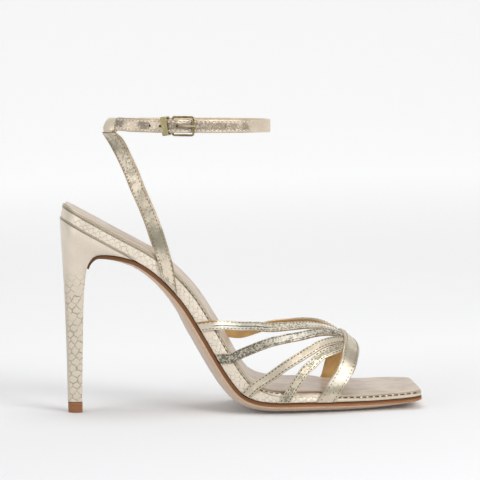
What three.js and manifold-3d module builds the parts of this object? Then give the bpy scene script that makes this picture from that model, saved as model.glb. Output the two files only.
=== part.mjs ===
// A strappy sandal for the right foot on a slim high heel, in millimetres.
// The origin is the centre of the heel tip's face on the floor. +X runs to the toe, +Z is up,
// -Y is the outer (lateral) side with the buckle and +Y the inner (medial) side.
import * as THREE from 'three';
import { mergeVertices } from 'three/addons/utils/BufferGeometryUtils.js';
import Module from 'manifold-3d';

const wasm = await Module();
wasm.setup();

// Driving dimensions of the last and the footbed
const gap = 0.3;               // between two pieces that touch
const heelHeight = 109.6;      // floor to the footbed's underside at its back edge
const treadHeight = 6.6;       // floor to the footbed's underside at the ball
const footSpan = 197.8;        // level length from the footbed's back edge to its toe edge
const backOverhang = 5.8;      // footbed's back edge behind the heel tip's centre
const backLean = 0.34;         // how far that edge leans back for each mm of its height
const backLeanSpan = 0.15;     // share of the footbed over which the lean fades out
const seatWidth = 50;
const waistWidth = 44;
const ballWidth = 76;
const toeWidth = 63;
const seatRound = 20;          // depth of the rounded back of the seat
const seatFullness = 2.5;      // 2 is an ellipse, more is squarer
const toeCorner = { lateral: 7, medial: 20 };
const archRaise = 3.2;         // lift of the inner edge of the footbed in the waist
const rimThickness = 7.3;
const sockThickness = 1.2;
const soleEdge = 1.8;          // height of the outsole's edge
const soleDome = 4.9;          // how far its underside bulges below the edge
const soleReach = 0.4;         // how far the edge stands out past the footbed

// Driving dimensions of the heel
const tipLength = 8;
const tipHalfWidth = 4.7;
const tipThickness = 5.8;
const heelTipInset = 0.2;      // heel's lowest section inside the tip's outline
const heelSeatInset = 0.3;     // heel's seat inside the footbed's outline
const heelCorner = { share: 0.08, most: 1 };  // bevel of its front corners
const heelBackFlat = 0.16;     // share of its half width that is flat behind

// Driving dimensions of the straps
const strapThickness = 1.6;
const strapCorner = 0.4;       // bevel of a strap's long edges
const strapWidth = 5.4;
const bandWidth = 12.4;        // toe band over the top of the foot
const slingWidth = 7.8;
const instepHeight = 42;       // top of the foot behind the toe band
const instepFullness = 2.3;
const strapTuck = 0.3;         // strap end above the footbed's underside
const wallSlack = 0.1;         // more room between a flat strap and the curved side wall

// Driving dimensions of the ankle strap and the buckle
const ankleLength = 90.4;
const ankleWidth = 58;
const ankleCentre = 67.4;
const anklePinch = 0.5;        // how much narrower than an ellipse it is behind
const ankleHeight = 159;       // middle of the strap over the floor, at the ankle's centre
const ankleDrop = 1.15;        // how much lower the strap runs in front than at the side
const ankleTilt = 0.45;        // how much higher it runs on the outer side
const ankleLean = 28;          // degrees that the strap leans forward behind the heel
const ankleStrapWidth = 7.4;
const loopWall = 0.6;          // leather of the loop behind the heel
const loopStrapWidth = 5.6;    // ankle strap where it runs through that loop
const loopHalfAngle = 24;
const frameLength = 12.8;
const frameHeight = 11.2;
const frameBar = 1.2;
const prongRadius = 0.6;
const rollWall = 0.45;         // leather of the strap's end that is rolled round the hinge bar
const keeperLength = 3.4;
const keeperWall = 1;
const keeperTilt = 6;

// The footbed's underside along its middle: at is the share of its length, along of the level
// span, rise of the seat's height over the tread.
const lastLine = [
  { at: 0.000, along: 0.000, rise: 1.000 },
  { at: 0.130, along: 0.139, rise: 0.844 },
  { at: 0.220, along: 0.233, rise: 0.738 },
  { at: 0.280, along: 0.289, rise: 0.645 },
  { at: 0.345, along: 0.340, rise: 0.526 },
  { at: 0.410, along: 0.381, rise: 0.394 },
  { at: 0.505, along: 0.438, rise: 0.197 },
  { at: 0.550, along: 0.467, rise: 0.109 },
  { at: 0.585, along: 0.495, rise: 0.047 },
  { at: 0.615, along: 0.527, rise: 0.016 },
  { at: 0.650, along: 0.569, rise: 0.003 },
  { at: 0.745, along: 0.687, rise: 0.000 },
  { at: 0.870, along: 0.840, rise: -0.007 },
  { at: 0.940, along: 0.928, rise: -0.003 },
  { at: 1.000, along: 1.000, rise: 0.006 },
];

// Half widths of the footbed, as shares of the width in the column of
const outline = [
  { at: 0.000, of: seatWidth, lateral: 0.500, medial: 0.490 },
  { at: 0.190, of: seatWidth, lateral: 0.500, medial: 0.480 },
  { at: 0.270, of: waistWidth, lateral: 0.535, medial: 0.500 },
  { at: 0.370, of: waistWidth, lateral: 0.520, medial: 0.485 },
  { at: 0.490, of: waistWidth, lateral: 0.595, medial: 0.550 },
  { at: 0.595, of: ballWidth, lateral: 0.435, medial: 0.400 },
  { at: 0.665, of: ballWidth, lateral: 0.500, medial: 0.460 },
  { at: 0.710, of: ballWidth, lateral: 0.515, medial: 0.485 },
  { at: 0.780, of: ballWidth, lateral: 0.500, medial: 0.493 },
  { at: 0.850, of: toeWidth, lateral: 0.563, medial: 0.571 },
  { at: 0.920, of: toeWidth, lateral: 0.524, medial: 0.540 },
  { at: 1.000, of: toeWidth, lateral: 0.489, medial: 0.508 },
].map((row) => ({ at: row.at, lateral: row.of * row.lateral, medial: row.of * row.medial }));

// The wrapped rim: its thickness and the bevel of its upper edge, as shares of rimThickness
const rimShape = [
  { at: 0.000, thick: 1.00, drop: 0.10, inset: 0.10 },
  { at: 0.600, thick: 1.00, drop: 0.12, inset: 0.14 },
  { at: 0.665, thick: 0.76, drop: 0.24, inset: 0.32 },
  { at: 0.710, thick: 0.67, drop: 0.33, inset: 0.40 },
  { at: 0.765, thick: 0.62, drop: 0.31, inset: 0.38 },
  { at: 0.805, thick: 0.42, drop: 0.10, inset: 0.11 },
  { at: 1.000, thick: 0.37, drop: 0.07, inset: 0.08 },
];

// How far the underside of the outsole bulges, as shares of soleDome
const domeShape = [
  { at: 0.200, dome: 0.44 },
  { at: 0.270, dome: 0.52 },
  { at: 0.340, dome: 0.73 },
  { at: 0.410, dome: 0.98 },
  { at: 0.620, dome: 1.00 },
  { at: 0.760, dome: 0.98 },
  { at: 0.870, dome: 0.80 },
  { at: 0.940, dome: 0.56 },
  { at: 1.000, dome: 0.32 },
];

// The bulge across the outsole: share of the half width, and of the bulge
const domeAcross = [
  { out: 1.00, down: 0 },
  { out: 0.93, down: 0.42 },
  { out: 0.76, down: 0.80 },
  { out: 0.42, down: 1 },
  { out: 0.00, down: 1 },
];

// The heel's sections, from the tip to the seat. The columns go from 0 at the tip to 1 at the seat:
// the back and front edges' height and reach, and the half width.
const heelShape = [
  { at: 0.00, backUp: 0.000, backOut: 0.00, frontUp: 0.000, frontOut: 0.000, half: 0.000 },
  { at: 0.20, backUp: 0.280, backOut: 0.02, frontUp: 0.370, frontOut: 0.036, half: 0.035 },
  { at: 0.38, backUp: 0.542, backOut: 0.18, frontUp: 0.720, frontOut: 0.076, half: 0.130 },
  { at: 0.46, backUp: 0.658, backOut: 0.35, frontUp: 0.860, frontOut: 0.112, half: 0.240 },
  { at: 0.53, backUp: 0.735, backOut: 0.50, frontUp: 0.935, frontOut: 0.145, half: 0.370 },
  { at: 0.61, backUp: 0.803, backOut: 0.65, frontUp: 0.990, frontOut: 0.205, half: 0.540 },
  { at: 0.70, backUp: 0.861, backOut: 0.78, frontUp: 1.030, frontOut: 0.318, half: 0.720 },
  { at: 0.80, backUp: 0.910, backOut: 0.88, frontUp: 1.038, frontOut: 0.505, half: 0.860 },
  { at: 0.90, backUp: 0.955, backOut: 0.95, frontUp: 1.026, frontOut: 0.752, half: 0.955 },
  { at: 1.00, backUp: 1.000, backOut: 1.00, frontUp: 1.000, frontOut: 1.000, half: 1.000 },
];
const heelStations = [0, 0.2, 0.38, 0.46, 0.53, 0.57, 0.61, 0.655, 0.7, 0.75, 0.8, 0.85, 0.9, 0.95, 1];
const seatFrontAt = 0.19;      // share of the footbed where the heel's seat ends
const tongueFrom = 0.53;       // heel section where the outsole ends on the breast
const heelRound = { tip: 0.68, seat: 0.43 };  // share of each section that is rounded behind

// Top of the foot over the floor, as shares of instepHeight, and how much narrower than the
// footbed it is up there, as a share
const instepShape = [
  { along: 0.43, top: 1.90, narrow: 0.32 },
  { along: 0.494, top: 1.81, narrow: 0.30 },
  { along: 0.535, top: 1.69, narrow: 0.28 },
  { along: 0.575, top: 1.55, narrow: 0.23 },
  { along: 0.621, top: 1.38, narrow: 0.17 },
  { along: 0.661, top: 1.27, narrow: 0.12 },
  { along: 0.707, top: 1.18, narrow: 0.07 },
  { along: 0.744, top: 1.10, narrow: 0.03 },
  { along: 0.7775, top: 1.00, narrow: 0.01 },
  { along: 0.810, top: 0.867, narrow: 0 },
  { along: 0.828, top: 0.780, narrow: 0 },
  { along: 0.860, top: 0.62, narrow: 0 },
];

// The straps of the forefoot. foot and edge are the shares of the footbed where the strap leaves
// its underside and its upper edge. Then the strap lies on the foot: along is the share of the
// span, turn the angle over the foot from 0 at the outer side to 180 at the inner side.
const vampStraps = [
  {
    side: 'lateral', foot: 0.405, edge: 0.418, tuck: strapTuck,
    over: [
      { along: 0.451, turn: 10 }, { along: 0.492, turn: 23 }, { along: 0.534, turn: 32 },
      { along: 0.577, turn: 38 }, { along: 0.620, turn: 47 }, { along: 0.664, turn: 57 },
      { along: 0.709, turn: 66 }, { along: 0.744, turn: 73 }, { along: 0.778, turn: 80 },
      { along: 0.806, turn: 84 },
    ],
  },
  {
    side: 'lateral', foot: 0.488, edge: 0.503, tuck: strapTuck,
    over: [
      { along: 0.495, turn: 7 }, { along: 0.537, turn: 19 }, { along: 0.576, turn: 27 },
      { along: 0.617, turn: 35 }, { along: 0.658, turn: 43 }, { along: 0.699, turn: 52 },
      { along: 0.741, turn: 62 }, { along: 0.780, turn: 72 }, { along: 0.808, turn: 76 },
    ],
  },
  {
    side: 'lateral', foot: 0.592, edge: 0.607, tuck: 0.5,
    over: [
      { along: 0.572, turn: 6 }, { along: 0.611, turn: 14 }, { along: 0.651, turn: 23 },
      { along: 0.683, turn: 31 }, { along: 0.714, turn: 40 }, { along: 0.748, turn: 50 },
      { along: 0.785, turn: 63 }, { along: 0.810, turn: 69 },
    ],
  },
  {
    side: 'lateral', foot: 0.680, edge: 0.692, tuck: strapTuck,
    over: [
      { along: 0.648, turn: 7 }, { along: 0.668, turn: 14 }, { along: 0.689, turn: 20 },
      { along: 0.711, turn: 28 }, { along: 0.733, turn: 34 }, { along: 0.757, turn: 41 },
      { along: 0.782, turn: 50 }, { along: 0.806, turn: 57 },
    ],
  },
  {
    side: 'medial', foot: 0.455, edge: 0.470, tuck: strapTuck,
    over: [
      { along: 0.511, turn: 164 }, { along: 0.555, turn: 155 }, { along: 0.600, turn: 145 },
      { along: 0.661, turn: 131 }, { along: 0.707, turn: 119 }, { along: 0.744, turn: 107 },
      { along: 0.778, turn: 98 }, { along: 0.806, turn: 92 },
    ],
  },
];

// The toe band from rim to rim over the ends of the other straps. wide is a share of bandWidth,
// lift the share of a strap's thickness that it stands higher.
const toeBand = {
  lateral: { foot: 0.774, edge: 0.783, wide: 0.76 },
  medial: { foot: 0.803, edge: 0.812, wide: 0.76 },
  over: [
    { along: 0.767, turn: 13, wide: 0.74, lift: 0.1 },
    { along: 0.785, turn: 26, wide: 0.76, lift: 0.4 },
    { along: 0.796, turn: 44, wide: 0.80, lift: 0.85 },
    { along: 0.804, turn: 64, wide: 0.87, lift: 0.85 },
    { along: 0.806, turn: 90, wide: 0.90, lift: 0.85 },
    { along: 0.805, turn: 116, wide: 0.88, lift: 0.85 },
    { along: 0.801, turn: 138, wide: 0.81, lift: 0.6 },
    { along: 0.795, turn: 154, wide: 0.78, lift: 0.3 },
    { along: 0.784, turn: 167, wide: 0.76, lift: 0.1 },
  ],
};

// One half of the sling, from the footbed to the loop behind the heel. along is the share of the
// span, up the share of the ankle strap's height, out the share of half the ankle's width, and
// facing turns the strap's outer side from the shoe's side (0) to its back (90). The strap widens
// towards the loop.
const slingFoot = { foot: 0.291, edge: 0.252, footWide: 0.85 };
const slingPath = [
  { along: 0.2740, up: 0.598, out: 0.870, facing: 8, wide: 1.00 },
  { along: 0.2625, up: 0.646, out: 0.868, facing: 12, wide: 1.00 },
  { along: 0.2425, up: 0.714, out: 0.820, facing: 17, wide: 1.01 },
  { along: 0.2194, up: 0.784, out: 0.725, facing: 24, wide: 1.05 },
  { along: 0.2040, up: 0.837, out: 0.610, facing: 31, wide: 1.11 },
  { along: 0.1870, up: 0.887, out: 0.480, facing: 38, wide: 1.18 },
  { along: 0.1675, up: 0.938, out: 0.330, facing: 46, wide: 1.28 },
];
const slingMeet = { angle: 12, wide: 1.2 };  // its end on the loop, beside the back's middle

// Colours and finishes
const finish = (color, roughness, metalness) => (
  new THREE.MeshStandardMaterial({ color, roughness, metalness })
);
const goldLeather = finish(0xd8cdb6, 0.34, 0.55);
const sockLeather = finish(0xc8bdae, 0.45, 0.35);
const soleLeather = finish(0x9a6440, 0.5, 0);
const tipRubber = finish(0x9c6a45, 0.6, 0);
const paleBrass = finish(0xcfc193, 0.28, 1);

// Cubic through the rows of a table, with slopes from the neighbouring rows
function smooth(rows, key, column, value) {
  const last = rows.length - 1;
  let i = 0;
  while (i < last - 1 && value > rows[i + 1][column]) i += 1;
  const slope = (k) => {
    const before = rows[Math.max(k - 1, 0)];
    const after = rows[Math.min(k + 1, last)];
    return (after[key] - before[key]) / (after[column] - before[column]);
  };
  const [a, b] = [rows[i], rows[i + 1]];
  const run = b[column] - a[column];
  const t = (value - a[column]) / run;
  const [t2, t3] = [t * t, t * t * t];
  return (2 * t3 - 3 * t2 + 1) * a[key] + (t3 - 2 * t2 + t) * run * slope(i)
    + (3 * t2 - 2 * t3) * b[key] + (t3 - t2) * run * slope(i + 1);
}

const radians = THREE.MathUtils.degToRad;
const mix = THREE.MathUtils.lerp;
const vector = (x, y, z) => new THREE.Vector3(x, y, z);

// The last
const backX = -backOverhang;

function lastPoint(at) {
  const x = backX + footSpan * smooth(lastLine, 'along', 'at', at);
  const z = treadHeight + (heelHeight - treadHeight) * smooth(lastLine, 'rise', 'at', at);
  return vector(x, 0, z);
}

function lastTangent(at) {
  const step = 0.004;
  const from = lastPoint(Math.max(at - step, 0));
  const to = lastPoint(Math.min(at + step, 1));
  return to.sub(from).normalize();
}

const lastLength = (() => {
  const steps = 200;
  let sum = 0;
  for (let i = 0; i < steps; i += 1) sum += lastPoint(i / steps).distanceTo(lastPoint((i + 1) / steps));
  return sum;
})();

// Half width of the footbed with its rounded back and its toe corners
function halfWidth(side, at) {
  const width = smooth(outline, side, 'at', at);
  const fromBack = at * lastLength;
  const fromToe = (1 - at) * lastLength;
  if (fromBack < seatRound) {
    const inner = 1 - fromBack / seatRound;
    return width * (1 - inner ** seatFullness) ** (1 / seatFullness);
  }
  const corner = toeCorner[side];
  if (fromToe < corner) return width - corner + Math.sqrt(corner ** 2 - (corner - fromToe) ** 2);
  return width;
}

// The inner edge rises in the waist, from the seat to the ball
const archFrom = 0.2;
const archTo = 0.7;

function archLift(at, y) {
  if (at <= archFrom || at >= archTo || y <= 0) return 0;
  const wave = Math.sin(Math.PI * (at - archFrom) / (archTo - archFrom));
  return archRaise * wave * Math.min(1, y / halfWidth('medial', at)) ** 2;
}

// A point of the shoe: at along the last, y across, n above the footbed's underside
function onLast(at, y, n) {
  const tangent = lastTangent(at);
  const normal = vector(-tangent.z, 0, tangent.x);
  const lean = backLean * Math.max(0, 1 - at / backLeanSpan) ** 2 * Math.max(0, n);
  return lastPoint(at)
    .addScaledVector(normal, n + archLift(at, y))
    .addScaledVector(tangent, -lean)
    .setY(y);
}

const rimTop = (at) => rimThickness * smooth(rimShape, 'thick', 'at', at);
const footbedTop = (at) => rimTop(at) + gap + sockThickness;

// Sections of the footbed, from fromBack mm ahead of its back edge to fromToe mm short of its toe:
// evenly spaced, and close together where the outline turns at either end.
const evenSections = 28;
const turnSections = [0, 0.04, 0.12, 0.25, 0.42, 0.66, 1];
const toeDepth = Math.max(toeCorner.lateral, toeCorner.medial);

function footbedStations(fromBack, fromToe) {
  const back = turnSections.map((share) => mix(fromBack, seatRound, share) / lastLength);
  const toe = turnSections.map((share) => 1 - mix(fromToe, toeDepth, share) / lastLength).reverse();
  const first = back[back.length - 1];
  const middle = Array.from({ length: evenSections - 1 }, (_, i) => (
    mix(first, toe[0], (i + 1) / evenSections)
  ));
  return [...back, ...middle, ...toe];
}

// A closed solid from rings with the same number of points. Each ring runs out along one edge
// and back along the other, so point j faces point n - 1 - j and the ends close in pairs.
function loft(rings) {
  const n = rings[0].length;
  const triangles = [];
  const quad = (a, b, c, d) => triangles.push(a, b, c, a, c, d);
  for (let i = 0; i < rings.length - 1; i += 1) {
    for (let j = 0; j < n; j += 1) {
      const k = (j + 1) % n;
      quad(i * n + j, i * n + k, (i + 1) * n + k, (i + 1) * n + j);
    }
  }
  const end = (rings.length - 1) * n;
  for (let j = 0; j < n / 2 - 1; j += 1) {
    quad(j + 1, j, n - 1 - j, n - 2 - j);
    quad(end + j, end + j + 1, end + n - 2 - j, end + n - 1 - j);
  }
  return solid(rings.flat().flatMap((p) => p.toArray()), triangles);
}

function solid(positions, triangles) {
  const p = positions;
  let volume = 0;
  for (let i = 0; i < triangles.length; i += 3) {
    const [a, b, c] = [0, 1, 2].map((k) => new THREE.Vector3().fromArray(p, 3 * triangles[i + k]));
    volume += a.dot(b.cross(c));
  }
  const faces = volume < 0 ? [...triangles].reverse() : triangles;
  const mesh = new wasm.Mesh({
    numProp: 3,
    vertProperties: new Float32Array(p),
    triVerts: new Uint32Array(faces),
  });
  return new wasm.Manifold(mesh);
}

function solidOf(geometry, matrix) {
  const bare = geometry.clone();
  bare.deleteAttribute('normal');
  bare.deleteAttribute('uv');
  bare.applyMatrix4(matrix);
  const merged = mergeVertices(bare, 0.001);
  return solid([...merged.attributes.position.array], [...merged.index.array]);
}

function piece(name, body, material) {
  const { vertProperties, triVerts } = body.getMesh();
  const geometry = new THREE.BufferGeometry();
  geometry.setAttribute('position', new THREE.BufferAttribute(new Float32Array(vertProperties), 3));
  geometry.setIndex(new THREE.BufferAttribute(new Uint32Array(triVerts), 1));
  geometry.computeVertexNormals();
  const mesh = new THREE.Mesh(geometry, material);
  mesh.name = name;
  return mesh;
}

// Footbed rim: the insole board with its wrapped side wall
const rimAcross = [1, 0.75, 0.5, 0, -0.5, -0.75, -1];
const rimStart = 0.2;          // flat at the very back, in mm

function rimSection(at) {
  const row = (key) => rimThickness * smooth(rimShape, key, 'at', at);
  const [thick, drop, inset] = [row('thick'), row('drop'), row('inset')];
  const [lateral, medial] = [halfWidth('lateral', at), halfWidth('medial', at)];
  const top = [
    onLast(at, -lateral, thick - drop),
    onLast(at, -lateral + inset, thick),
    onLast(at, -lateral / 2, thick),
    onLast(at, 0, thick),
    onLast(at, medial / 2, thick),
    onLast(at, medial - inset, thick),
    onLast(at, medial, thick - drop),
  ];
  const under = rimAcross.map((share) => onLast(at, share * (share > 0 ? medial : lateral), 0));
  return [...top, ...under];
}

const footbedRim = loft(footbedStations(rimStart, 0).map(rimSection));

// Sock lining: the thin sheet on the footbed, inside the rim's bevel
const sockMargin = 0.4;
const sockAcross = [-1, -0.8, -0.4, 0, 0.4, 0.8, 1];
const sockEnds = { back: 1.4, toe: 1 };  // short of the footbed's ends

function sockSection(at) {
  const inset = sockMargin + rimThickness * smooth(rimShape, 'inset', 'at', at);
  const sides = { lateral: halfWidth('lateral', at) - inset, medial: halfWidth('medial', at) - inset };
  const reach = (share) => share * (share > 0 ? sides.medial : sides.lateral);
  const top = sockAcross.map((share) => onLast(at, reach(share), footbedTop(at)));
  const under = sockAcross.map((share) => onLast(at, reach(share), rimTop(at) + gap)).reverse();
  return [...top, ...under];
}

const sockLining = loft(footbedStations(sockEnds.back, sockEnds.toe).map(sockSection));

// Heel: sections that turn from level at the tip to the slope of the seat
const seatBack = onLast(0, 0, -gap);
const seatFront = onLast(seatFrontAt, 0, -gap);
const tipBack = vector(-tipLength / 2 - heelTipInset / 2, 0, tipThickness + gap);
const tipFront = vector(tipLength / 2 - heelTipInset, 0, tipThickness + gap);

function heelSection(at) {
  const row = (key) => smooth(heelShape, key, 'at', at);
  const between = (low, high, out, up) => (
    vector(mix(low.x, high.x, row(out)), 0, mix(low.z, high.z, row(up)))
  );
  const half = (side) => (
    mix(tipHalfWidth - heelTipInset, halfWidth(side, seatFrontAt) - heelSeatInset, row('half'))
  );
  return {
    at,
    back: between(tipBack, seatBack, 'backOut', 'backUp'),
    front: between(tipFront, seatFront, 'frontOut', 'frontUp'),
    lateral: half('lateral'),
    medial: half('medial'),
    round: mix(heelRound.tip, heelRound.seat, row('half')),
  };
}

// A D-shaped ring: straight across in front, straight sides, rounded behind. heelTurns are the
// places of its points, as shares of the rounded depth.
const heelTurns = [0.8, 0.58, 0.38, 0.22, 0.1, 0.03];

function heelRing({ back, front, lateral, medial, round }) {
  const length = back.distanceTo(front);
  const ahead = front.clone().sub(back).normalize();
  const depth = length * round;
  const corner = Math.min(heelCorner.share * length, heelCorner.most);
  const place = (distance, y) => back.clone().addScaledVector(ahead, distance).setY(y);
  const bulge = (share) => (1 - (1 - share) ** seatFullness) ** (1 / seatFullness);
  const edge = (sign, half) => [
    place(length, sign * (half - corner)),
    place(length - corner, sign * half),
    place(mix(depth, length, 0.5), sign * half),
    place(depth, sign * half),
    ...heelTurns.map((share) => place(depth * share, sign * half * bulge(share))),
    place(0, sign * half * heelBackFlat),
  ];
  return [...edge(-1, lateral), ...edge(1, medial).reverse()];
}

const heelSections = heelStations.map(heelSection);
const heel = loft(heelSections.map(heelRing));

// Heel tip: the same ring on two levels
const tipSection = (z) => ({
  back: vector(-tipLength / 2, 0, z),
  front: vector(tipLength / 2, 0, z),
  lateral: tipHalfWidth,
  medial: tipHalfWidth,
  round: heelRound.tip,
});
const heelTip = loft([tipSection(0), tipSection(tipThickness)].map(heelRing));

// Outsole: up the heel's breast as a tongue, under the seat's front and along the last to the toe.
// place gives a point at y across and n above its upper face.
const tongueEnd = { wide: 0.75, edge: 0.5 };  // shares of its full width and edge height
const tongueFlare = 0.25;      // share of the tongue over which it reaches its full width
const soleFrom = seatFrontAt + 0.02;

function breastStations() {
  const breast = heelSections.filter((section) => section.at >= tongueFrom);
  return breast.map((section, i) => {
    const before = breast[Math.max(i - 1, 0)].front;
    const after = breast[Math.min(i + 1, breast.length - 1)].front;
    const tangent = after.clone().sub(before).normalize();
    const inward = vector(-tangent.z, 0, tangent.x);
    const share = (section.at - tongueFrom) / (1 - tongueFrom);
    const taper = mix(tongueEnd.wide, 1, Math.min(1, share / tongueFlare));
    return {
      lateral: section.lateral * taper,
      medial: section.medial * taper,
      edge: soleEdge * mix(tongueEnd.edge, 1, share),
      dome: soleDome * domeShape[0].dome * share,
      place: (y, n) => section.front.clone().addScaledVector(inward, n - gap).setY(y),
    };
  });
}

function soleStations() {
  const ahead = footbedStations(0, 0).filter((at) => at > soleFrom);
  return ahead.map((at) => ({
    lateral: halfWidth('lateral', at) + soleReach,
    medial: halfWidth('medial', at) + soleReach,
    edge: soleEdge,
    dome: soleDome * smooth(domeShape, 'dome', 'at', at),
    place: (y, n) => onLast(at, y, n - gap),
  }));
}

function soleSection({ lateral, medial, edge, dome, place }) {
  const rows = [
    ...domeAcross.map(({ out, down }) => ({ y: -lateral * out, down })),
    ...domeAcross.slice(0, -1).reverse().map(({ out, down }) => ({ y: medial * out, down })),
  ];
  const top = rows.map(({ y }) => place(y, 0));
  const under = rows.map(({ y, down }) => place(y, -edge - dome * down)).reverse();
  for (const point of under) point.z = Math.max(point.z, 0);
  return [...top, ...under];
}

const outsole = loft([...breastStations(), ...soleStations()].map(soleSection));

// The foot that the forefoot straps lie on: at each section a rounded arch over the footbed
const halvings = 40;

function footbedBelow(x) {
  let [low, high] = [0, 1];
  for (let i = 0; i < halvings; i += 1) {
    const middle = (low + high) / 2;
    if (onLast(middle, 0, footbedTop(middle)).x < x) low = middle;
    else high = middle;
  }
  return low;
}

function footPoint(along, turn) {
  const x = backX + footSpan * along;
  const at = footbedBelow(x);
  const base = onLast(at, 0, footbedTop(at)).z;
  const rise = instepHeight * smooth(instepShape, 'top', 'along', along) - base;
  const side = turn < 90 ? 'lateral' : 'medial';
  const reach = halfWidth(side, at) + gap + strapThickness / 2;
  const [c, s] = [Math.cos(radians(turn)), Math.sin(radians(turn))];
  const inward = 1 - smooth(instepShape, 'narrow', 'along', along) * s;
  const y = -Math.sign(c) * reach * inward * Math.abs(c) ** (2 / instepFullness);
  const z = base + rise * s ** (2 / instepFullness);
  return vector(x, y, z);
}

function footNormal(along, turn) {
  const step = { along: 0.004, turn: 1.5 };
  const alongWay = footPoint(along + step.along, turn).sub(footPoint(along - step.along, turn));
  const overWay = footPoint(along, turn + step.turn).sub(footPoint(along, turn - step.turn));
  return overWay.cross(alongWay).normalize().negate();
}

// A strap is carried along a smooth path of nodes. Each node has a point, the strap's outward
// normal, a width, and at a strap's cut end the direction of the cut.
const nodeSteps = 3;

function strap(nodes) {
  const path = new THREE.CatmullRomCurve3(nodes.map((node) => node.point), false, 'centripetal');
  const last = nodes.length - 1;
  const rings = [];
  for (let i = 0; i <= last * nodeSteps; i += 1) {
    const place = Math.min(i / nodeSteps, last);
    const k = Math.min(Math.floor(place), last - 1);
    const [a, b, t] = [nodes[k], nodes[k + 1], place - k];
    const tangent = path.getTangent(place / last);
    const normal = a.normal.clone().lerp(b.normal, t);
    normal.addScaledVector(tangent, -normal.dot(tangent)).normalize();
    const across = normal.clone().cross(tangent).normalize();
    const cut = (a.cut ?? 0) * (1 - t) + (b.cut ?? 0) * t;
    const slant = (a.along ?? b.along ?? tangent).clone();
    const skewed = slant.divideScalar(slant.dot(across) || 1);
    if (cut > 0) across.lerp(skewed, cut);
    const width = mix(a.width, b.width, t);
    rings.push(strapRing(path.getPoint(place / last), across, normal, width, strapThickness));
  }
  return loft(rings);
}

function strapRing(centre, across, normal, width, thickness) {
  const [w, h, c] = [width / 2, thickness / 2, strapCorner];
  const outer = [[-w, h - c], [-w + c, h], [w - c, h], [w, h - c]];
  const inner = outer.map(([a, b]) => [a, -b]).reverse();
  return [...outer, ...inner].map(([a, b]) => (
    centre.clone().addScaledVector(across, a).addScaledVector(normal, b)
  ));
}

// A strap's lower end on the rim's side wall, cut along the outsole
function sideWall(side, at, n) {
  const sign = side === 'lateral' ? -1 : 1;
  const step = 0.008;
  const wall = (place) => onLast(place, sign * halfWidth(side, place), n);
  const along = wall(at + step).sub(wall(at - step)).normalize();
  const tangent = lastTangent(at);
  const up = vector(-tangent.z, 0, tangent.x);
  const normal = along.clone().cross(up).normalize().multiplyScalar(-sign);
  const point = wall(at).addScaledVector(normal, gap + wallSlack + strapThickness / 2);
  return { point, normal, along };
}

function anchorNodes(side, { foot, edge, tuck = strapTuck }, width) {
  const low = sideWall(side, foot, tuck);
  const high = sideWall(side, edge, rimTop(edge));
  return [
    { ...low, width, cut: 1 },
    { point: high.point, normal: high.normal, width, cut: 0 },
  ];
}

function overNodes(rows, width) {
  return rows.map(({ along, turn, wide = 1, lift = 0 }) => {
    const normal = footNormal(along, turn);
    const point = footPoint(along, turn).addScaledVector(normal, lift * strapThickness);
    return { point, normal, width: width * wide };
  });
}

const vampBodies = vampStraps.map(({ side, over, ...anchor }) => (
  strap([...anchorNodes(side, anchor, strapWidth), ...overNodes(over, strapWidth)])
));
const bandNodes = [
  ...anchorNodes('lateral', toeBand.lateral, bandWidth * toeBand.lateral.wide),
  ...overNodes(toeBand.over, bandWidth),
  ...anchorNodes('medial', toeBand.medial, bandWidth * toeBand.medial.wide).reverse(),
];
const vamp = vampBodies.reduce((body, next) => body.add(next), strap(bandNodes));

// The ankle strap's way round: angle 0 in front, 90 on the outer side, 180 behind. out is the
// distance from the strap's inner face.
const ankleHalf = {
  along: ankleLength / 2 - strapThickness,
  across: ankleWidth / 2 - strapThickness,
};

function anklePlace(angle, out, up = 0) {
  const [c, s] = [Math.cos(radians(angle)), Math.sin(radians(angle))];
  const behind = Math.max(0, -c);
  const narrow = 1 - anklePinch * behind ** 2;
  const turn = c * (narrow + (behind > 0 ? 2 * anklePinch * s ** 2 : 0));
  const facing = vector(ankleHalf.across * turn, -ankleHalf.along * s, 0).normalize();
  const lean = radians(ankleLean) * behind ** 4;
  const normal = facing.clone().multiplyScalar(Math.cos(lean)).setZ(Math.sin(lean));
  const across = facing.clone().multiplyScalar(-Math.sin(lean)).setZ(Math.cos(lean));
  const point = vector(
    ankleCentre + ankleHalf.along * c,
    -ankleHalf.across * s * narrow,
    ankleHeight - ankleDrop * c + ankleTilt * s,
  );
  return { point: point.addScaledVector(normal, out).addScaledVector(across, up), normal, across };
}

const ankleAngle = (x) => (
  THREE.MathUtils.radToDeg(Math.acos((x - ankleCentre) / ankleHalf.along))
);

// Stations of the buckle along the shoe. The hinge bar lies in the rolled end of the under layer,
// the far bar over the strap, and the tail runs over the roll and down to the under layer.
const frameRight = 69;
const frameLeft = frameRight - frameLength;
const frameBevel = 0.3;
const hingeX = frameLeft + frameBar / 2;
const barCorner = Math.hypot(frameBar / 2, frameBar / 2 - frameBevel);
const rollInside = barCorner + gap;
const rollOutside = rollInside + rollWall;
const ankleStart = ankleAngle(hingeX - rollInside / 2);
const barOut = { hinge: strapThickness / 2, far: strapThickness + gap + frameBar / 2 };
const layerStep = strapThickness + gap;
const overRoll = barOut.hinge + rollOutside + gap;
const tailRun = 2.4;           // from the hinge bar to where the tail lies on the under layer again
const tailRise = {
  from: 360 + ankleAngle(frameRight - frameBar - gap),
  top: 360 + ankleAngle(hingeX),
  to: 360 + ankleAngle(hingeX - rollOutside - tailRun),
};
const tailShort = 1.4;         // degrees from the tail's end to the loop
const tailEnd = 540 - loopHalfAngle - tailShort;

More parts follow.
